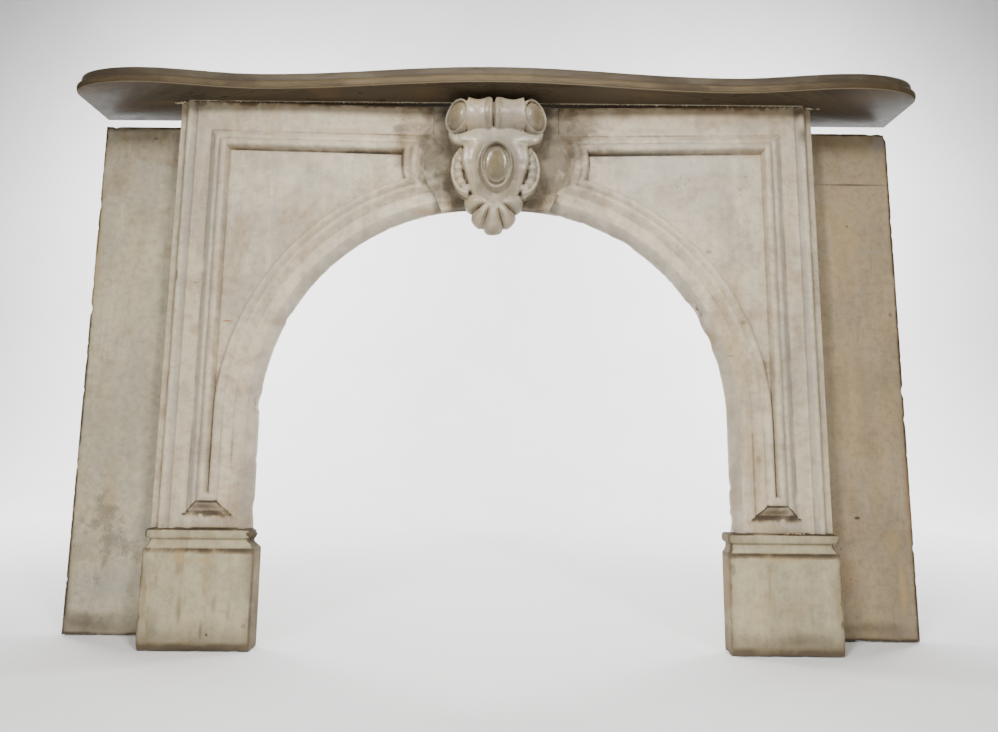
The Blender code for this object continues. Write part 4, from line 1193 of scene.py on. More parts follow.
def bead_tree(material):
    """Nodes that lay beads along a line, each turned with it and a little uneven."""
    tree, source, target, nodes = node_tree("beads_along_scroll", "Line", "Beads laid", (
        ("Beads", "Int", 7), ("Width", "Float", 0.0098), ("Length", "Float", 0.0072),
        ("Depth", "Float", 0.0085), ("Unevenness", "Float", 0.10), ("Seed", "Int", 3),
    ))
    curve, resample = nodes("GeometryNodeMeshToCurve", "GeometryNodeResampleCurve")
    ball, place = nodes("GeometryNodeMeshUVSphere", "GeometryNodeInstanceOnPoints")
    size, vary, scale = nodes("ShaderNodeCombineXYZ", "FunctionNodeRandomValue", "ShaderNodeVectorMath")
    tangent, align = nodes("GeometryNodeInputTangent", "FunctionNodeAlignEulerToVector")
    real, paint = nodes("GeometryNodeRealizeInstances", "GeometryNodeSetMaterial")
    less, more = nodes("ShaderNodeMath", "ShaderNodeMath")
    less.operation, more.operation, scale.operation = "SUBTRACT", "ADD", "MULTIPLY"
    less.inputs[0].default_value = more.inputs[0].default_value = 1.0
    ball.inputs["Segments"].default_value, ball.inputs["Rings"].default_value = 20, 12
    ball.inputs["Radius"].default_value = 1.0
    align.axis, align.pivot_axis = "Z", "AUTO"
    vary.data_type = "FLOAT"
    paint.inputs["Material"].default_value = material
    given = source.outputs
    return wired(tree, (
        (given["Line"], curve.inputs[0]), (curve.outputs[0], resample.inputs["Curve"]),
        (given["Beads"], resample.inputs["Count"]), (resample.outputs[0], place.inputs["Points"]),
        (ball.outputs["Mesh"], place.inputs["Instance"]), (tangent.outputs[0], align.inputs["Vector"]),
        (align.outputs[0], place.inputs["Rotation"]), (given["Width"], size.inputs[0]),
        (given["Depth"], size.inputs[1]), (given["Length"], size.inputs[2]),
        (given["Unevenness"], less.inputs[1]), (given["Unevenness"], more.inputs[1]),
        (less.outputs[0], vary.inputs[2]), (more.outputs[0], vary.inputs[3]),
        (given["Seed"], vary.inputs["Seed"]), (size.outputs[0], scale.inputs[0]),
        (vary.outputs[1], scale.inputs[1]), (scale.outputs[0], place.inputs["Scale"]),
        (place.outputs[0], real.inputs[0]), (real.outputs[0], paint.inputs[0]),
        (paint.outputs[0], target.inputs[0]),
    ))


def plain_mesh(carrier, tree, values, name):
    """Runs the node tree on the carrier and returns the result as a plain mesh of its own."""
    modifier = carrier.modifiers.new("nodes", "NODES")
    modifier.node_group = tree
    for item in tree.interface.items_tree:
        if item.in_out == "INPUT" and item.name in values:
            modifier[item.identifier] = values[item.name]
    graph = bpy.context.evaluated_depsgraph_get()
    mesh = bpy.data.meshes.new_from_object(carrier.evaluated_get(graph))
    mesh.name = name
    bpy.data.objects.remove(carrier, do_unlink=True)
    return mesh


def polyline(name, points):
    mesh = bpy.data.meshes.new(name)
    mesh.from_pydata([tuple(point) for point in points], [(i, i + 1) for i in range(len(points) - 1)], [])
    return placed(name, mesh)


def cavity(piece, rounds, reach):
    """How hollow the surface is at each point, from 0 on swells to 1 in the deepest quirks."""
    mesh = piece.data
    count = len(mesh.vertices)
    places = np.empty(count * 3)
    mesh.vertices.foreach_get("co", places)
    places = places.reshape(-1, 3)
    normals = np.empty(count * 3)
    mesh.vertices.foreach_get("normal", normals)
    normals = normals.reshape(-1, 3)
    ends = np.empty(len(mesh.edges) * 2, np.int64)
    mesh.edges.foreach_get("vertices", ends)
    ends = ends.reshape(-1, 2)
    degree = np.bincount(ends.ravel(), minlength=count).clip(1)
    even = places.copy()
    for _ in range(rounds):
        total = np.zeros_like(even)
        for axis in range(3):
            total[:, axis] = np.bincount(ends[:, 0], even[ends[:, 1], axis], count)
            total[:, axis] += np.bincount(ends[:, 1], even[ends[:, 0], axis], count)
        even = 0.5 * even + 0.5 * total / degree[:, None]
    return ((even - places) * normals).sum(axis=1) / reach


def key_block(bm, step):
    """The plain block between the panels, its face a little uneven."""
    side = joint_line(0.0)
    soffit = [(ARCH_CENTRE[0], ARCH_CENTRE[1] + ARCH_RADIUS)]
    for i in range(10, 0, -1):
        x = KEY_FOOT_HALF * (1 - i / 11)
        if x > 0.04:
            rise = math.sqrt(ARCH_RADIUS**2 - (x - ARCH_CENTRE[0]) ** 2)
            soffit.append((x, ARCH_CENTRE[1] + rise))
    half = soffit + side
    outline = half + [(-x, z) for x, z in half[::-1]]
    count = len(outline)
    points = [Vector(place) for place in outline]
    lines = [(i, (i + 1) % count) for i in range(count)]
    xs, zs = np.meshgrid(np.arange(-0.15, 0.15, step), np.arange(0.82, 1.06, step))
    x, z = xs.ravel(), zs.ravel()
    keep = inside(outline, x, z) & inside(outline, x + step / 2, z) & inside(outline, x - step / 2, z)
    keep &= inside(outline, x, z + step / 2) & inside(outline, x, z - step / 2)
    points += [Vector(place) for place in zip(x[keep].tolist(), z[keep].tolist())]
    places, _, faces, _, _, _ = delaunay_2d_cdt(points, lines, [], 1, 1e-7)
    start = len(bm.verts)
    for place in places:
        swell = smooth_noise((place[0], 0.0, place[1]), 16.0, 9.0) * 0.0014
        swell += smooth_noise((place[0], 0.0, place[1]), 50.0, 9.0) * 0.0005
        bm.verts.new((place[0], FRONT_Y + max(-0.0008, swell), place[1]))
    bm.verts.ensure_lookup_table()
    for face in faces:
        bm.faces.new([bm.verts[start + i] for i in face])
    draw_back(bm, 1.0)
    bmesh.ops.holes_fill(bm, edges=open_rim(bm), sides=0)


class MANTEL_OT_keystone(bpy.types.Operator):
    """Builds the keystone's block and its carved scroll, oval, beads and leaf"""

    bl_idname = "mantel.keystone"
    bl_label = "Keystone"

    def execute(self, context):
        carved = keystone_marble("keystone_carved_marble", 0.0)
        ground = keystone_marble("keystone_ground_marble", 0.5)
        bm = bmesh.new()
        roll(bm)
        shield(bm)
        oval(bm)
        leaf(bm)
        for side in (-1, 1):
            eye(bm, side)
            side_scroll(bm, side)
        rough = object_of("keystone_rough", bm, [carved], sharp=None)
        tree = bead_tree(carved)
        bm = bmesh.new()
        bm.from_mesh(rough.data)
        for side in (-1, 1):
            line = [scroll_spot(side, SCROLL_START + SCROLL_SWEEP * (0.10 + 0.80 * i / 24), 0.128, 0.395)
                    for i in range(25)]
            values = {"Beads": 6, "Width": 0.0102, "Length": 0.0094, "Depth": 0.0098,
                      "Unevenness": 0.05, "Seed": 3 + side}
            beads = plain_mesh(polyline("bead_line", line), tree, values, "beads")
            bm.from_mesh(beads)
        bm.to_mesh(rough.data)
        bm.free()
        remesh = rough.modifiers.new("remesh", "REMESH")
        remesh.mode = "VOXEL"
        remesh.voxel_size = sizes().carving_step * 1.0
        even = rough.modifiers.new("even", "SMOOTH")
        even.factor, even.iterations = 0.5, 3
        graph = bpy.context.evaluated_depsgraph_get()
        carving = bpy.data.meshes.new_from_object(rough.evaluated_get(graph))
        bpy.data.objects.remove(rough, do_unlink=True)
        bm = bmesh.new()
        bm.from_mesh(carving)
        hidden = [face for face in bm.faces if face.calc_center_median().y > FRONT_Y + 0.004
                  and face.calc_center_median().z > 0.85]
        bmesh.ops.delete(bm, geom=hidden, context="FACES")
        bmesh.ops.holes_fill(bm, edges=open_rim(bm), sides=0)
        bm.normal_update()
        for vert in bm.verts:
            swell = smooth_noise(vert.co, 70.0, 1.0) * 0.00035 + smooth_noise(vert.co, 210.0, 2.0) * 0.00018
            vert.co += vert.normal * swell
        piece = object_of("keystone_carving", bm, [carved], sharp=None, recalculate=False)
        # Darker in the carving's hollows: dirt, and painted shade in place of the light that the hollows lose
        hollow = cavity(piece, 12, 0.0011)
        wide = cavity(piece, 60, 0.0035)
        give(piece, "dirt_and_shade", np.clip(np.maximum(hollow, 0.7 * wide) - 0.15, 0.0, 1.0))
        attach(piece, "root")
        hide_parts("keystone")
        bm = bmesh.new()
        key_block(bm, 0.006)
        block = object_of("keystone_block", bm, [ground])
        near = []
        for vert in block.data.vertices:
            x, z = abs(vert.co.x), vert.co.z
            rim = 1.0 - min(1.0, abs(math.dist((x, z), END_CENTRE) - JOINT_RADIUS) / 0.006)
            rim *= 0.42 if vert.co.x > 0.0 else 0.12
            near.append(max(rim, 0.55 - 0.50 * min(1.0, max(0.0, x - 0.080) / 0.03)))
        give(block, "dirt_and_shade", near)
        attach(block, "root")
        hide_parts("keystone")
        return {"FINISHED"}


def keystone_marble(name, darker):
    """The carving's finish, or with darker the finish of the plain ground behind it."""
    shades = colours()
    recipe = Recipe(name, 7.0 + darker)
    base = scaled(shades.cream, 0.56 + 0.70 * darker)
    cloud = scaled(shades.grey, 0.52 + 0.70 * darker)
    colour, height, mid = weathered(recipe, base, cloud, 0.25 + 0.4 * darker)
    if darker:
        colour = around_keystone(recipe, colour)
        return recipe.finish(colour, dulled(recipe, mid, 0.55, 0.75), height, 0.3, gloss=0.2)
    amber = recipe.mix(recipe.between(mid, 0.40, 0.60), *AMBER_SHADES)
    marks = [
        # Dirt and painted shade in the dish round the oval, then the clean ring and the amber boss
        (OVAL_HALO_DIRT_AND_SHADE, 0.92, (0.000, 0.920), (0.0600, 0.070), 0.70, 0.60),
        (base, 0.55, (0.002, 0.898), (0.0280, 0.040), 0.30, 0.40),
        (amber, 0.90, (0.002, 0.908), (0.0235, 0.036), 0.12, 0.22),
        # Painted shadow under the top of the ring, inside the oval
        (shades.dirt_and_shade, 0.45, (0.004, 0.930), (0.0160, 0.011), 0.80, 0.70),
    ]
    for side in (-1, 1):
        marks.append((amber, 0.55, (side * 0.012 - 0.004, 1.020), (0.0080, 0.045), 0.30, 0.50))
        marks.append((amber, 0.60, (side * 0.076, 1.016), (0.0220, 0.032), 0.30, 0.60))
    marks.append((amber, 0.45, (-0.004, 0.785), (0.0220, 0.012), 0.50, 0.80))
    for tint, strength, (x, z), (wide, high), ragged, soft in marks:
        place = recipe.patch((x, FRONT_Y, z), (wide, 1.0, high), ragged, soft)
        colour = recipe.over(colour, place, strength, tint)
    return recipe.finish(colour, dulled(recipe, mid, 0.28, 0.55), height, 0.3, gloss=0.45)


# Foot blocks


class MANTEL_OT_foot_blocks(bpy.types.Operator):
    """Builds the two foot blocks with their moulded tops and battered lower edges"""

    bl_idname = "mantel.foot_blocks"
    bl_label = "Foot blocks"

    def execute(self, context):
        for hand, side in (("left", -1), ("right", 1)):
            piece = foot_block(hand + "_foot", side)
            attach(piece, "root")
            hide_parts(hand + "_foot_block")
        return {"FINISHED"}


def foot_profile():
    height = FOOT_HIGH[2]
    face_top = height - FOOT_COVE - FOOT_TORUS
    rows = [(z, 0.0, 0.0) for z in np.linspace(0.0, face_top - 0.011, 30)]
    rows += [(face_top - 0.009, 0.0, 0.24), (face_top - 0.005, 0.0, 0.48), (face_top - 0.0008, 0.0004, 0.66)]
    rows += [(face_top + 0.0006, 0.0016, 0.40)]
    for share, sink in ((0.14, 0.50), (0.30, 0.76), (0.50, 0.94), (0.70, 1.0), (0.88, 1.0), (1.0, 0.92)):
        rows.append((face_top + share * FOOT_COVE, sink * FOOT_SINK, 0.03 if share < 0.8 else 0.26))
    for i in range(1, 13):
        angle = math.pi * i / 12
        z = face_top + FOOT_COVE + FOOT_TORUS * (1 - math.cos(angle)) / 2
        rows.append((z, FOOT_SINK * (0.75 - 0.75 * math.sin(angle) ** 0.7), 0.20 + 0.65 * (i > 9)))
    return rows


def broken_end(side, y, z):
    """How far the left block's moulded top is broken back at its inner end."""
    share = (z - FOOT_HIGH[2] + FOOT_COVE + FOOT_TORUS) / 0.010
    if side > 0 or share <= 0.0:
        return 0.0
    return min(1.0, share) * (0.0125 + 0.010 * smooth_noise((0.0, y, z), 90.0, 6.0))


def foot_block(name, side):
    bm = bmesh.new()
    layer = bm.verts.layers.float.new("dirt_and_shade")
    rings = []
    for z, sink, dirt_and_shade in foot_profile():
        near_corner, far_corner = (FOOT_IN + sink, -FOOT_PROUD + sink), (LEG_OUT - sink, -FOOT_PROUD + sink)
        corners = (near_corner, far_corner, (far_corner[0], SLAB), (near_corner[0], SLAB))
        ring = []
        for a, b in zip(corners, corners[1:] + corners[:1]):
            count = FOOT_FACE_STEPS if a[0] != b[0] else FOOT_END_STEPS
            for i in range(count):
                share = i / count
                x, y = a[0] + (b[0] - a[0]) * share, a[1] + (b[1] - a[1]) * share
                near_x = min(x - near_corner[0], far_corner[0] - x)
                near_y = y - near_corner[1]
                place = Vector((x * side, y, z))
                at_corner = max(0.0, 1.0 - math.hypot(near_x, near_y) / 0.005)
                break_off = min(1.0, max(0.0, smooth_noise(place, 46.0, side) - 0.26) * 3.0)
                chip = at_corner * (0.0005 + break_off * sizes().chips)
                low = max(0.0, 1.0 - z / 0.011) * max(0.0, smooth_noise((x * side, y, 0.0), 55.0, 4.0) + 0.05)
                chip += low * sizes().chips * 1.2
                if near_y < FOOT_ARRIS:
                    y += chip
                if near_x < FOOT_ARRIS:
                    x += chip if x < 0.54 else -chip
                elif near_y < FOOT_ARRIS:
                    y += sizes().grain * smooth_noise(place, 30.0)
                inner = FOOT_IN + broken_end(side, y, z)
                grime_and_shade = max(dirt_and_shade, 1.3 * max(0.0, 1.0 - z / 0.016), at_corner * (0.52 + 0.4 * break_off))
                # Painted shade on the faces other than the front, which are turned from the light; the broken
                # end is darker too
                grime_and_shade = max(grime_and_shade, 0.34 * (near_y > FOOT_ARRIS), 0.8 * (x < inner))
                ring.append(((side * max(x, inner), FRONT_Y + y, z), grime_and_shade))
        rings.append(ring)
    rows = loft(bm, [[place for place, _ in ring] for ring in rings])
    for row, ring in zip(rows, rings):
        for vert, (_, dirt_and_shade) in zip(row, ring):
            vert[layer] = dirt_and_shade
    bm.faces.new(rows[0][::-1])
    bm.faces.new(rows[-1])
    add_return(bm, side, LEG_OUT - FOOT_SINK, (0.0, FOOT_HIGH[2] - 0.001), 0.010, 0.001, side * 5.0)
    return object_of(name, bm, [foot_marble(name + "_marble", side)])


def foot_marble(name, side):
    shades = colours()
    recipe = Recipe(name, 11.0 * side)
    colour, height, mid = weathered(recipe, *FOOT_SHADES, 0.40)
    low = recipe.number("ADD", recipe.part("Z"), recipe.number("MULTIPLY", mid, 0.05))
    colour = recipe.over(colour, recipe.between(low, 0.080, 0.018), 0.78, FOOT_GRIME)
    marks = recipe.clouds(26.0, 4.0, 0.6, 0.2, stretch=(1.0, 1.0, 0.25))
    colour = recipe.mix(recipe.between(marks, 0.57, 0.70, 0.0, 0.55), colour, scaled(shades.tan, 0.8))
    middle = side * (LEG_OUT + FOOT_IN) / 2
    rim = recipe.number("ABSOLUTE", recipe.number("SUBTRACT", recipe.part("X"), middle), 0.0)
    rim = recipe.number("ADD", rim, recipe.number("MULTIPLY", mid, 0.04))
    colour = recipe.mix(recipe.between(rim, 0.105, 0.132, 0.0, 0.60), colour, FOOT_RIM)
    colour = lay_patches(recipe, colour, LEFT_FOOT_STAINS if side < 0 else RIGHT_FOOT_STAINS)
    return recipe.finish(colour, dulled(recipe, mid, 0.45, 0.72), height, 0.6)


# Side slips


class MANTEL_OT_side_slips(bpy.types.Operator):
    """Builds the two flat slips behind the legs"""

    bl_idname = "mantel.side_slips"
    bl_label = "Side slips"

    def execute(self, context):
        for hand, side in (("left", -1), ("right", 1)):
            low, high = [list(corner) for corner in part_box(hand + "_side_slip")]
            bm = bmesh.new()
            worn_slab(bm, low, high, 0.0065, 0.0006, sizes().chips * 0.5, side * 2.0)
            piece = object_of(hand + "_slip", bm, [slip_marble(hand + "_slip_marble", side)])
            near, far = sorted((abs(low[0]), abs(high[0])))
            edge = []
            for vert in piece.data.vertices:
                reach = abs(vert.co.x)
                gap = min(reach - near, far - reach, high[2] - vert.co.z, vert.co.z)
                leg = abs(reach - LEG_OUT)
                # Darker along the slip's edges, and painted shade beside the leg's return
                edge.append(max(1.1 * max(0.0, 1 - gap / 0.008), 0.7 * max(0.0, 1 - leg / 0.012)))
            give(piece, "dirt_and_shade", edge)
            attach(piece, "root")
            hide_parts(hand + "_side_slip")
        return {"FINISHED"}


def slip_marble(name, side):
    shades = colours()
    recipe = Recipe(name, 5.0 + side)
    base, cloud = LEFT_SLIP_SHADES if side < 0 else RIGHT_SLIP_SHADES
    colour, height, mid = weathered(recipe, base, cloud, 0.4)
    colour = lay_patches(recipe, colour, LEFT_SLIP_STAINS if side < 0 else RIGHT_SLIP_STAINS)
    low = recipe.number("ADD", recipe.part("Z"), recipe.number("MULTIPLY", mid, 0.16))
    colour = recipe.over(colour, recipe.between(low, 0.150, 0.060), 0.55, SLIP_GRIME)
    if side < 0:
        blotch = recipe.between(recipe.clouds(11.0, 8.0, 0.72, 0.1), 0.50, 0.58)
        zone = recipe.patch((-0.775, 0.0, 0.17), (0.130, 9.0, 0.190), 0.9, 0.6)
        colour = recipe.over(colour, recipe.number("MULTIPLY", blotch, zone), 0.55, SLIP_BLOTCH)
    specks = recipe.between(recipe.cells(105.0), 0.20, 0.10)
    specks = recipe.number("MULTIPLY", specks, recipe.between(mid, 0.46, 0.56))
    by_the_foot = recipe.patch((side * 0.695, 0.0, 0.14), (0.040, 9.0, 0.10), 0.8, 0.8)
    colour = recipe.over(colour, recipe.number("MULTIPLY", specks, by_the_foot), 0.85, shades.dirt_and_shade)
    return recipe.finish(colour, dulled(recipe, mid, 0.48, 0.72), height, 0.45)


# Shelf


def shelf_front(x):
    x = abs(x)
    if x < SHELF_HOLLOW_X:
        wave = (1 + math.cos(math.pi * x / SHELF_HOLLOW_X)) / 2
        return SHELF_HOLLOW + (SHELF_CREST - SHELF_HOLLOW) * wave
    along = (x - SHELF_HOLLOW_X) / (SHELF_EAR_X - SHELF_HOLLOW_X)
    wave = (1 - math.cos(math.pi * min(1.0, along))) / 2
    return SHELF_HOLLOW + (SHELF_EAR - SHELF_HOLLOW) * wave


def shelf_plan():
    """The shelf's edge from its back left corner round the front to its back right corner."""
    half = [(x, -shelf_front(x)) for x in np.linspace(0.0, SHELF_EAR_X, 120)[:-1]]
    corner_x, corner_y = SHELF_HALF - SHELF_EAR_X, SHELF_EAR - SHELF_SHOULDER
    for i in range(41):
        angle = math.pi / 2 * i / 40
        half.append((SHELF_EAR_X + corner_x * math.sin(angle), -SHELF_SHOULDER - corner_y * math.cos(angle)))
    half += [(SHELF_HALF, y) for y in np.linspace(-SHELF_SHOULDER, SLIP_FRONT, 12)[1:]]
    whole = [(-x, y) for x, y in half[:0:-1]] + half
    return [Vector((x, FRONT_Y + y, SHELF_LOW[2])) for x, y in whole]


SHELF_PROFILE = (  # share of the thickness, share of the edge's depth
    (0.00, 0.34), (0.025, 0.22), (0.05, 0.15), (0.085, 0.125), (0.12, 0.11), (0.15, 0.06), (0.19, 0.015),
    (0.24, 0.0), (0.30, 0.005), (0.36, 0.04), (0.41, 0.12), (0.45, 0.26), (0.478, 0.42), (0.495, 0.58),
    (0.515, 0.645), (0.56, 0.65), (0.64, 0.665), (0.74, 0.68), (0.82, 0.70), (0.89, 0.74), (0.945, 0.82),
    (0.98, 0.91), (1.00, 1.06),
)


def shelf_tree(material):
    """Nodes that run the moulded edge along the shelf's waved plan, and wear it a little."""
    tree, source, target, nodes = node_tree("shelf_edge_along_plan", "Plan", "Edge", (
        ("Profile", "Object", None), ("Steps", "Int", 400), ("Thickness", "Float", 0.036),
        ("Edge depth", "Float", 0.01), ("Wear", "Float", 0.0005),
    ))
    plan, shape, info = nodes("GeometryNodeMeshToCurve", "GeometryNodeMeshToCurve", "GeometryNodeObjectInfo")
    grid, index = nodes("GeometryNodeMeshGrid", "GeometryNodeInputIndex")
    grid.inputs["Vertices Y"].default_value = len(SHELF_PROFILE)
    column, row, u, v, whole, last, deep, high = nodes(*["ShaderNodeMath"] * 8)
    column.operation, row.operation, u.operation, v.operation = "DIVIDE", "MODULO", "DIVIDE", "DIVIDE"
    whole.operation, last.operation = "FLOOR", "SUBTRACT"
    deep.operation = high.operation = "MULTIPLY"
    column.inputs[1].default_value = row.inputs[1].default_value = float(len(SHELF_PROFILE))
    last.inputs[1].default_value = 1.0
    v.inputs[1].default_value = float(len(SHELF_PROFILE) - 1)
    along, across = nodes("GeometryNodeSampleCurve", "GeometryNodeSampleCurve")
    along.mode = across.mode = "FACTOR"
    outward, sink, inward, total, centre, wear = nodes(*["ShaderNodeVectorMath"] * 6)
    outward.operation, sink.operation, inward.operation = "CROSS_PRODUCT", "SCALE", "SUBTRACT"
    total.operation, centre.operation, wear.operation = "ADD", "SUBTRACT", "SCALE"
    outward.inputs[1].default_value = (0.0, 0.0, 1.0)
    centre.inputs[1].default_value = (0.5, 0.5, 0.5)
    split, rise, rub = nodes("ShaderNodeSeparateXYZ", "ShaderNodeCombineXYZ", "ShaderNodeTexNoise")
    rub.inputs["Scale"].default_value, rub.inputs["Detail"].default_value = 38.0, 3.0
    place, offset = nodes("GeometryNodeSetPosition", "GeometryNodeSetPosition")
    real, paint = nodes("GeometryNodeRealizeInstances", "GeometryNodeSetMaterial")
    paint.inputs["Material"].default_value = material
    given = source.outputs
    return wired(tree, (
        (given["Plan"], plan.inputs[0]), (given["Profile"], info.inputs["Object"]),
        (info.outputs["Geometry"], shape.inputs[0]), (given["Steps"], grid.inputs["Vertices X"]),
        (index.outputs[0], column.inputs[0]), (column.outputs[0], whole.inputs[0]),
        (whole.outputs[0], u.inputs[0]), (given["Steps"], last.inputs[0]), (last.outputs[0], u.inputs[1]),
        (index.outputs[0], row.inputs[0]), (row.outputs[0], v.inputs[0]),
        (plan.outputs[0], along.inputs["Curves"]), (shape.outputs[0], across.inputs["Curves"]),
        (u.outputs[0], along.inputs["Factor"]), (v.outputs[0], across.inputs["Factor"]),
        (along.outputs["Tangent"], outward.inputs[0]), (across.outputs["Position"], split.inputs[0]),
        (split.outputs["X"], deep.inputs[0]), (given["Edge depth"], deep.inputs[1]),
        (split.outputs["Z"], high.inputs[0]), (given["Thickness"], high.inputs[1]),
        (outward.outputs[0], sink.inputs[0]), (deep.outputs[0], sink.inputs["Scale"]),
        (along.outputs["Position"], inward.inputs[0]), (sink.outputs[0], inward.inputs[1]),
        (high.outputs[0], rise.inputs[2]), (inward.outputs[0], total.inputs[0]),
        (rise.outputs[0], total.inputs[1]), (grid.outputs["Mesh"], place.inputs["Geometry"]),
        (total.outputs[0], place.inputs["Position"]), (place.outputs[0], offset.inputs["Geometry"]),
        (rub.outputs["Color"], centre.inputs[0]), (centre.outputs[0], wear.inputs[0]),
        (given["Wear"], wear.inputs["Scale"]), (wear.outputs[0], offset.inputs["Offset"]),
        (offset.outputs[0], real.inputs[0]), (real.outputs[0], paint.inputs[0]),
        (paint.outputs[0], target.inputs[0]),
    ))


class MANTEL_OT_shelf(bpy.types.Operator):
    """Builds the shelf by running its moulded edge along the waved plan"""

    bl_idname = "mantel.shelf"
    bl_label = "Shelf"

    def execute(self, context):
        material = shelf_marble()
        plan = polyline("shelf_plan", shelf_plan())
        even = [(sink, 0.0, up) for up, sink in SHELF_PROFILE]
        profile = polyline("shelf_profile", even)
        tree = shelf_tree(material)
        values = {"Profile": profile, "Steps": sizes().shelf_steps, "Thickness": SHELF_THICKNESS,
                  "Edge depth": sizes().shelf_edge, "Wear": sizes().grain * 1.4}
        mesh = plain_mesh(plan, tree, values, "shelf")
        bpy.data.objects.remove(profile, do_unlink=True)
        bm = bmesh.new()
        bm.from_mesh(mesh)
        for vert in bm.verts:
            vert.co.z = min(SHELF_HIGH[2], max(SHELF_LOW[2], vert.co.z))
            vert.co.x = min(SHELF_HALF, max(-SHELF_HALF, vert.co.x))
            vert.co.y = min(SHELF_HIGH[1], max(SHELF_LOW[1], vert.co.y))
        bm.verts.ensure_lookup_table()
        rows, columns = len(SHELF_PROFILE), sizes().shelf_steps
        for row in (0, rows - 1):
            ring = [bm.verts[column * rows + row] for column in range(columns)]
            lines = [(i, (i + 1) % columns) for i in range(columns)]
            flat = [Vector((vert.co.x, vert.co.y)) for vert in ring]
            _, _, faces, _, _, _ = delaunay_2d_cdt(flat, lines, [], 1, 1e-7)
            for face in faces:
                if max(face) < columns:
                    bm.faces.new([ring[i] for i in face])
        last = (columns - 1) * rows
        bm.faces.new([bm.verts[i] for i in range(rows)] + [bm.verts[last + i] for i in range(rows)][::-1])
        piece = object_of("shelf", bm, [material])
        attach(piece, "root")
        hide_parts("mantel_shelf")
        return {"FINISHED"}


def shelf_marble():
    shades = colours()
    recipe = Recipe("shelf_smoked_marble", 2.0)
    big = recipe.clouds(4.0, 5.0, 0.6, 0.6, stretch=(0.45, 1.0, 1.0))
    mid = recipe.clouds(17.0, 6.0, 0.62, 0.5, stretch=(0.35, 1.0, 1.0))
    fine = recipe.clouds(90.0, 5.0, 0.6)
    colour = recipe.mix(recipe.between(big, 0.36, 0.64), shades.smoke, SMOKE_DARK)
    colour = recipe.mix(recipe.between(mid, 0.54, 0.74, 0.0, 0.7), colour, SMOKE_BROWN)
    # Three patches of painted glow, warmer and lighter, on the underside by the front
    for x, wide in ((-0.14, 0.07), (0.74, 0.10), (-0.34, 0.05)):
        painted_glow = recipe.patch((x, FRONT_Y - 0.045, SHELF_LOW[2]), (wide, 0.05, 0.01), 0.9, 0.9)
        colour = recipe.over(colour, painted_glow, 0.6, SMOKE_PAINTED_GLOW)
    level = recipe.number("SUBTRACT", recipe.part("Z"), SHELF_LOW[2])
    away = recipe.between(recipe.part("X"), -0.75, -0.30, 0.0, 0.62)
    colour = recipe.mix(away, colour, SMOKE_BLACK)
    # The nose gets a yellower tint, and painted light where it faces up, over the band above
    nose = recipe.between(level, 0.0012, 0.004)
    nose_tint_and_light = recipe.mix(recipe.between(mid, 0.38, 0.62), *NOSE_SHADES_AND_PAINTED_LIGHT)
    colour = recipe.over(colour, nose, 0.9, nose_tint_and_light)
    upper_tint = recipe.mix(recipe.between(mid, 0.36, 0.66), *UPPER_SHADES)
    colour = recipe.mix(recipe.between(level, 0.0165, 0.0185), colour, upper_tint)
    streaks = recipe.clouds(70.0, 5.0, 0.66, 0.4, stretch=(0.07, 1.0, 1.9))
    streaks = recipe.number("MULTIPLY", recipe.between(streaks, 0.50, 0.64, 0.0, 0.60), nose)
    colour = recipe.mix(streaks, colour, shades.dirt_and_shade)
    colour = recipe.over(colour, recipe.stripe(level, 0.0182, 0.0020, 0.0004), 0.8, shades.dirt_and_shade)
    colour = recipe.over(colour, recipe.stripe(level, 0.0010, 0.0012, 0.0002), 0.55, SHELF_LIP)
    specks = recipe.between(recipe.cells(150.0), 0.12, 0.05)
    specks = recipe.number("MULTIPLY", specks, recipe.between(fine, 0.55, 0.66))
    colour = recipe.over(colour, specks, 0.6, shades.plaster)
    colour = recipe.over(colour, plaster_line(recipe, mid, level), 0.7, shades.plaster)
    shade = recipe.between(mid, 0.35, 0.7, 0.26, 0.48)
    shade = recipe.number("ADD", shade, recipe.number("MULTIPLY", nose, 0.26))
    relief = recipe.number("ADD", recipe.number("MULTIPLY", fine, 0.4), recipe.number("MULTIPLY", mid, 0.6))
    return recipe.finish(colour, shade, relief, 0.25)


def plaster_line(recipe, mid, level):
    """The line of old plaster under the shelf, where it meets the front."""
    band = recipe.number("ADD", recipe.part("Y"), recipe.number("MULTIPLY", mid, 0.004))
    line = recipe.stripe(band, FRONT_Y - 0.0020, 0.0022, 0.0008)
    line = recipe.number("MULTIPLY", line, recipe.between(level, 0.0006, 0.0002))
    reach = recipe.number("ABSOLUTE", recipe.part("X"), 0.0)
    line = recipe.number("MULTIPLY", line, recipe.between(reach, LEG_OUT - 0.020, LEG_OUT - 0.026))
    return recipe.number("MULTIPLY", line, recipe.between(mid, 0.40, 0.52, 0.35, 1.0))


# Old plaster


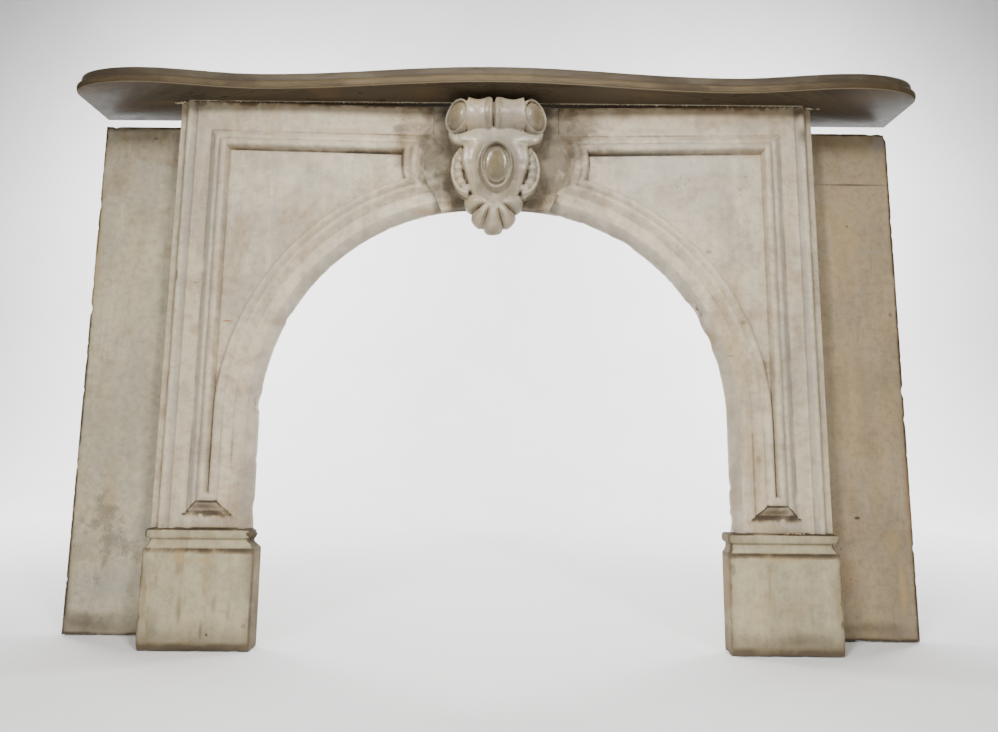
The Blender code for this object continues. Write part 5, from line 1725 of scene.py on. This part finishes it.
def crumb_tree(material):
    """Nodes that scatter uneven crumbs of plaster along a line."""
    tree, source, target, nodes = node_tree("crumbs_along_line", "Line", "Crumbs", (
        ("Gap", "Float", 0.01), ("Smallest", "Float", 0.0008), ("Largest", "Float", 0.003),
        ("Spread", "Vector", (0.004, 0.0015, 0.0004)), ("Flatness", "Float", 0.5), ("Seed", "Int", 5),
    ))
    curve, resample = nodes("GeometryNodeMeshToCurve", "GeometryNodeResampleCurve")
    resample.mode = "LENGTH"
    ball, place = nodes("GeometryNodeMeshIcoSphere", "GeometryNodeInstanceOnPoints")
    ball.inputs["Radius"].default_value, ball.inputs["Subdivisions"].default_value = 1.0, 2
    scatter, size, turn = nodes(*["FunctionNodeRandomValue"] * 3)
    scatter.data_type, size.data_type, turn.data_type = "FLOAT_VECTOR", "FLOAT", "FLOAT_VECTOR"
    turn.inputs[1].default_value = (0.0, 0.0, 6.28)
    shift, lump = nodes("GeometryNodeSetPosition", "GeometryNodeSetPosition")
    flat, rag = nodes("ShaderNodeCombineXYZ", "ShaderNodeTexNoise")
    flat.inputs[0].default_value, flat.inputs[1].default_value = 1.3, 0.9
    rag.inputs["Scale"].default_value = 420.0
    minus, scale, centre, ragged = nodes(*["ShaderNodeVectorMath"] * 4)
    minus.operation = ragged.operation = "SCALE"
    scale.operation, centre.operation = "MULTIPLY", "SUBTRACT"
    minus.inputs["Scale"].default_value = -1.0
    centre.inputs[1].default_value = (0.5, 0.5, 0.5)
    real, paint = nodes("GeometryNodeRealizeInstances", "GeometryNodeSetMaterial")
    paint.inputs["Material"].default_value = material
    given = source.outputs
    return wired(tree, (
        (given["Line"], curve.inputs[0]), (curve.outputs[0], resample.inputs["Curve"]),
        (given["Gap"], resample.inputs["Length"]), (resample.outputs[0], shift.inputs["Geometry"]),
        (given["Spread"], minus.inputs[0]), (minus.outputs[0], scatter.inputs[0]),
        (given["Spread"], scatter.inputs[1]), (given["Seed"], scatter.inputs["Seed"]),
        (scatter.outputs[0], shift.inputs["Offset"]), (shift.outputs[0], place.inputs["Points"]),
        (ball.outputs["Mesh"], place.inputs["Instance"]), (given["Smallest"], size.inputs[2]),
        (given["Largest"], size.inputs[3]), (given["Seed"], size.inputs["Seed"]),
        (given["Flatness"], flat.inputs[2]), (flat.outputs[0], scale.inputs[0]),
        (size.outputs[1], scale.inputs[1]), (scale.outputs[0], place.inputs["Scale"]),
        (turn.outputs[0], place.inputs["Rotation"]), (place.outputs[0], real.inputs[0]),
        (real.outputs[0], lump.inputs["Geometry"]), (rag.outputs["Color"], centre.inputs[0]),
        (centre.outputs[0], ragged.inputs[0]), (given["Smallest"], ragged.inputs["Scale"]),
        (ragged.outputs[0], lump.inputs["Offset"]), (lump.outputs[0], paint.inputs[0]),
        (paint.outputs[0], target.inputs[0]),
    ))


class MANTEL_OT_old_plaster(bpy.types.Operator):
    """Scatters crumbs of old plaster and mortar under the shelf and at the joints of the legs"""

    bl_idname = "mantel.old_plaster"
    bl_label = "Old plaster"

    def execute(self, context):
        material = plaster_finish()
        tree = crumb_tree(material)
        runs = (  # name, places across, out from the front, height, gap, share of the crumbs' size, seed
            ("plaster_under_shelf", np.linspace(-0.60, 0.62, 60), -0.003, SHELF_LOW[2] - 0.0004,
             sizes().crumb_gap, 0.5, 5),
            ("plaster_over_keystone", np.linspace(0.01, 0.075, 8), -0.012, KEY_TOP + 0.003, 0.004, 0.6, 8),
            ("mortar_on_left_leg", (-0.655, -0.642, -0.628), 0.004, FRIEZE_TOP - 0.0008, 0.0028, 1.0, 11),
            ("mortar_on_right_leg", (0.630, 0.642, 0.655), 0.004, FRIEZE_TOP - 0.0008, 0.0032, 1.0, 12),
            ("mortar_on_right_foot", (0.548, 0.565, 0.585), -0.003, FOOT_HIGH[2] + 0.0006, 0.0026, 1.0, 13),
        )
        for name, row, out, height, gap, share, seed in runs:
            line = polyline(name + "_line", [(x, FRONT_Y + out, height) for x in row])
            values = {"Gap": gap, "Largest": sizes().crumb_size * share, "Seed": seed}
            piece = placed(name, plain_mesh(line, tree, values, name))
            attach(piece, "root")
        return {"FINISHED"}


def plaster_finish():
    shades = colours()
    recipe = Recipe("old_plaster", 1.0)
    mid = recipe.clouds(120.0, 5.0, 0.6)
    colour = recipe.mix(recipe.between(mid, 0.35, 0.65), shades.plaster, shades.tan)
    return recipe.finish(colour, recipe.between(mid, 0.3, 0.7, 0.7, 0.95), mid, 0.6)


# Stage


def hang(name, light, place, aim):
    """Hangs a light at its place and turns it to its aim."""
    lamp = placed(name, light)
    lamp.location = place
    lamp.rotation_euler = (Vector(aim) - Vector(place)).to_track_quat("-Z", "Y").to_euler()


class MANTEL_OT_stage(bpy.types.Operator):
    """Lays the floor, hangs the lights and sets the camera"""

    bl_idname = "mantel.stage"
    bl_label = "Stage"

    def execute(self, context):
        scene = context.scene
        bm = bmesh.new()
        sweep = [(SWEEP_START + SWEEP_RADIUS * math.sin(a), FLOOR_LEVEL + SWEEP_RADIUS * (1 - math.cos(a)))
                 for a in np.linspace(0.0, math.pi / 2, 16)]
        profile = [(-6.0, FLOOR_LEVEL)] + sweep + [(SWEEP_START + SWEEP_RADIUS, 7.0)]
        loft(bm, [[(x, y, z) for y, z in profile] for x in (-8.0, 8.0)], closed=False)
        for face in bm.faces:
            face.smooth = True
        floor = object_of("floor", bm, [floor_finish()], sharp=None, recalculate=False)
        world = scene.world or bpy.data.worlds.new("sky")
        scene.world = world
        world.use_nodes = True
        sky = world.node_tree.nodes["Background"]
        sky.inputs["Color"].default_value = (1.0, 0.99, 0.97, 1.0)
        sky.inputs["Strength"].default_value = 0.20
        front = (0.0, -0.02, 0.55)
        lamps = (  # name, place, aim, power, width, tint
            ("key_light", (-0.1, -2.3, 3.2), front, 36.0, 1.4, WARM_WHITE),
            ("low_light", (0.0, -2.4, 0.35), front, 14.0, 0.8, (1.0, 0.99, 0.97)),
            ("left_backdrop_light", (-2.4, 1.3, 2.6), (-1.3, 3.8, 1.0), 260.0, 1.6, (1.0, 1.0, 1.0)),
            ("right_backdrop_light", (2.4, 1.3, 2.6), (1.3, 3.8, 1.0), 260.0, 1.6, (1.0, 1.0, 1.0)),
        )
        for hand, side in (("left", -1), ("right", 1)):
            light = bpy.data.lights.new(hand + "_spot", "SPOT")
            light.energy, light.shadow_soft_size, light.color = SPOT_POWER, SPOT_SIZE, WARM_WHITE
            light.spot_size, light.spot_blend = math.radians(60), 1.0
            hang(hand + "_spot", light, (-side * 1.15, -2.2, 1.9), (side * 0.76, 0.0, 0.46))
        for name, place, aim, power, width, tint in lamps:
            light = bpy.data.lights.new(name, "AREA")
            light.energy, light.size, light.color = power, width, tint
            hang(name, light, place, aim)
        lens = bpy.data.cameras.new("camera")
        lens.sensor_width = SENSOR_WIDTH
        lens.lens = PHOTO_FOCAL / PHOTO_WIDTH * SENSOR_WIDTH
        ahead = Vector((CAMERA_TURN, math.cos(CAMERA_PITCH), math.sin(CAMERA_PITCH))).normalized()
        right = ahead.cross(Vector((0.0, 0.0, 1.0))).normalized()
        up = right.cross(ahead)
        across = right * math.cos(CAMERA_ROLL) + up * math.sin(CAMERA_ROLL)
        above = up * math.cos(CAMERA_ROLL) - right * math.sin(CAMERA_ROLL)
        turn = Matrix((across, above, -ahead)).transposed().to_4x4()
        camera = placed("camera", lens)
        camera.matrix_world = Matrix.Translation(CAMERA_PLACE) @ turn
        scene.camera = camera
        return {"FINISHED"}


def floor_finish():
    recipe = Recipe("pale_floor", 0.0)
    mist = recipe.clouds(1.2, 3.0, 0.5)
    colour = recipe.mix(recipe.between(mist, 0.35, 0.65), (0.90, 0.90, 0.90), (0.86, 0.86, 0.86))
    return recipe.finish(colour, recipe.between(mist, 0.3, 0.7, 0.75, 0.85), mist, 0.02)


# Sidebar and main


class MANTEL_PT_pieces(bpy.types.Panel):
    bl_label = "Mantel"
    bl_idname = "MANTEL_PT_pieces"
    bl_space_type = "VIEW_3D"
    bl_region_type = "UI"
    bl_category = "Mantel"

    def draw(self, context):
        layout = self.layout
        for settings in (sizes(), colours()):
            for name in settings.bl_rna.properties.keys():
                if name not in ("rna_type", "name"):
                    layout.prop(settings, name)
        for step in STEPS:
            layout.operator(step.bl_idname)


STEPS = (
    MANTEL_OT_stage,
    MANTEL_OT_arch_panels,
    MANTEL_OT_keystone,
    MANTEL_OT_foot_blocks,
    MANTEL_OT_side_slips,
    MANTEL_OT_shelf,
    MANTEL_OT_old_plaster,
)
CLASSES = (MantelSizes, MantelColours, *STEPS, MANTEL_PT_pieces)


def register():
    for one in CLASSES:
        bpy.utils.register_class(one)
    bpy.types.Scene.mantel_sizes = bpy.props.PointerProperty(type=MantelSizes)
    bpy.types.Scene.mantel_colours = bpy.props.PointerProperty(type=MantelColours)


def unregister():
    del bpy.types.Scene.mantel_colours
    del bpy.types.Scene.mantel_sizes
    for one in reversed(CLASSES):
        bpy.utils.unregister_class(one)


def main():
    register()
    for step in STEPS:
        piece, _, verb = step.bl_idname.partition(".")
        getattr(getattr(bpy.ops, piece), verb)()


if __name__ == "__main__":
    main()
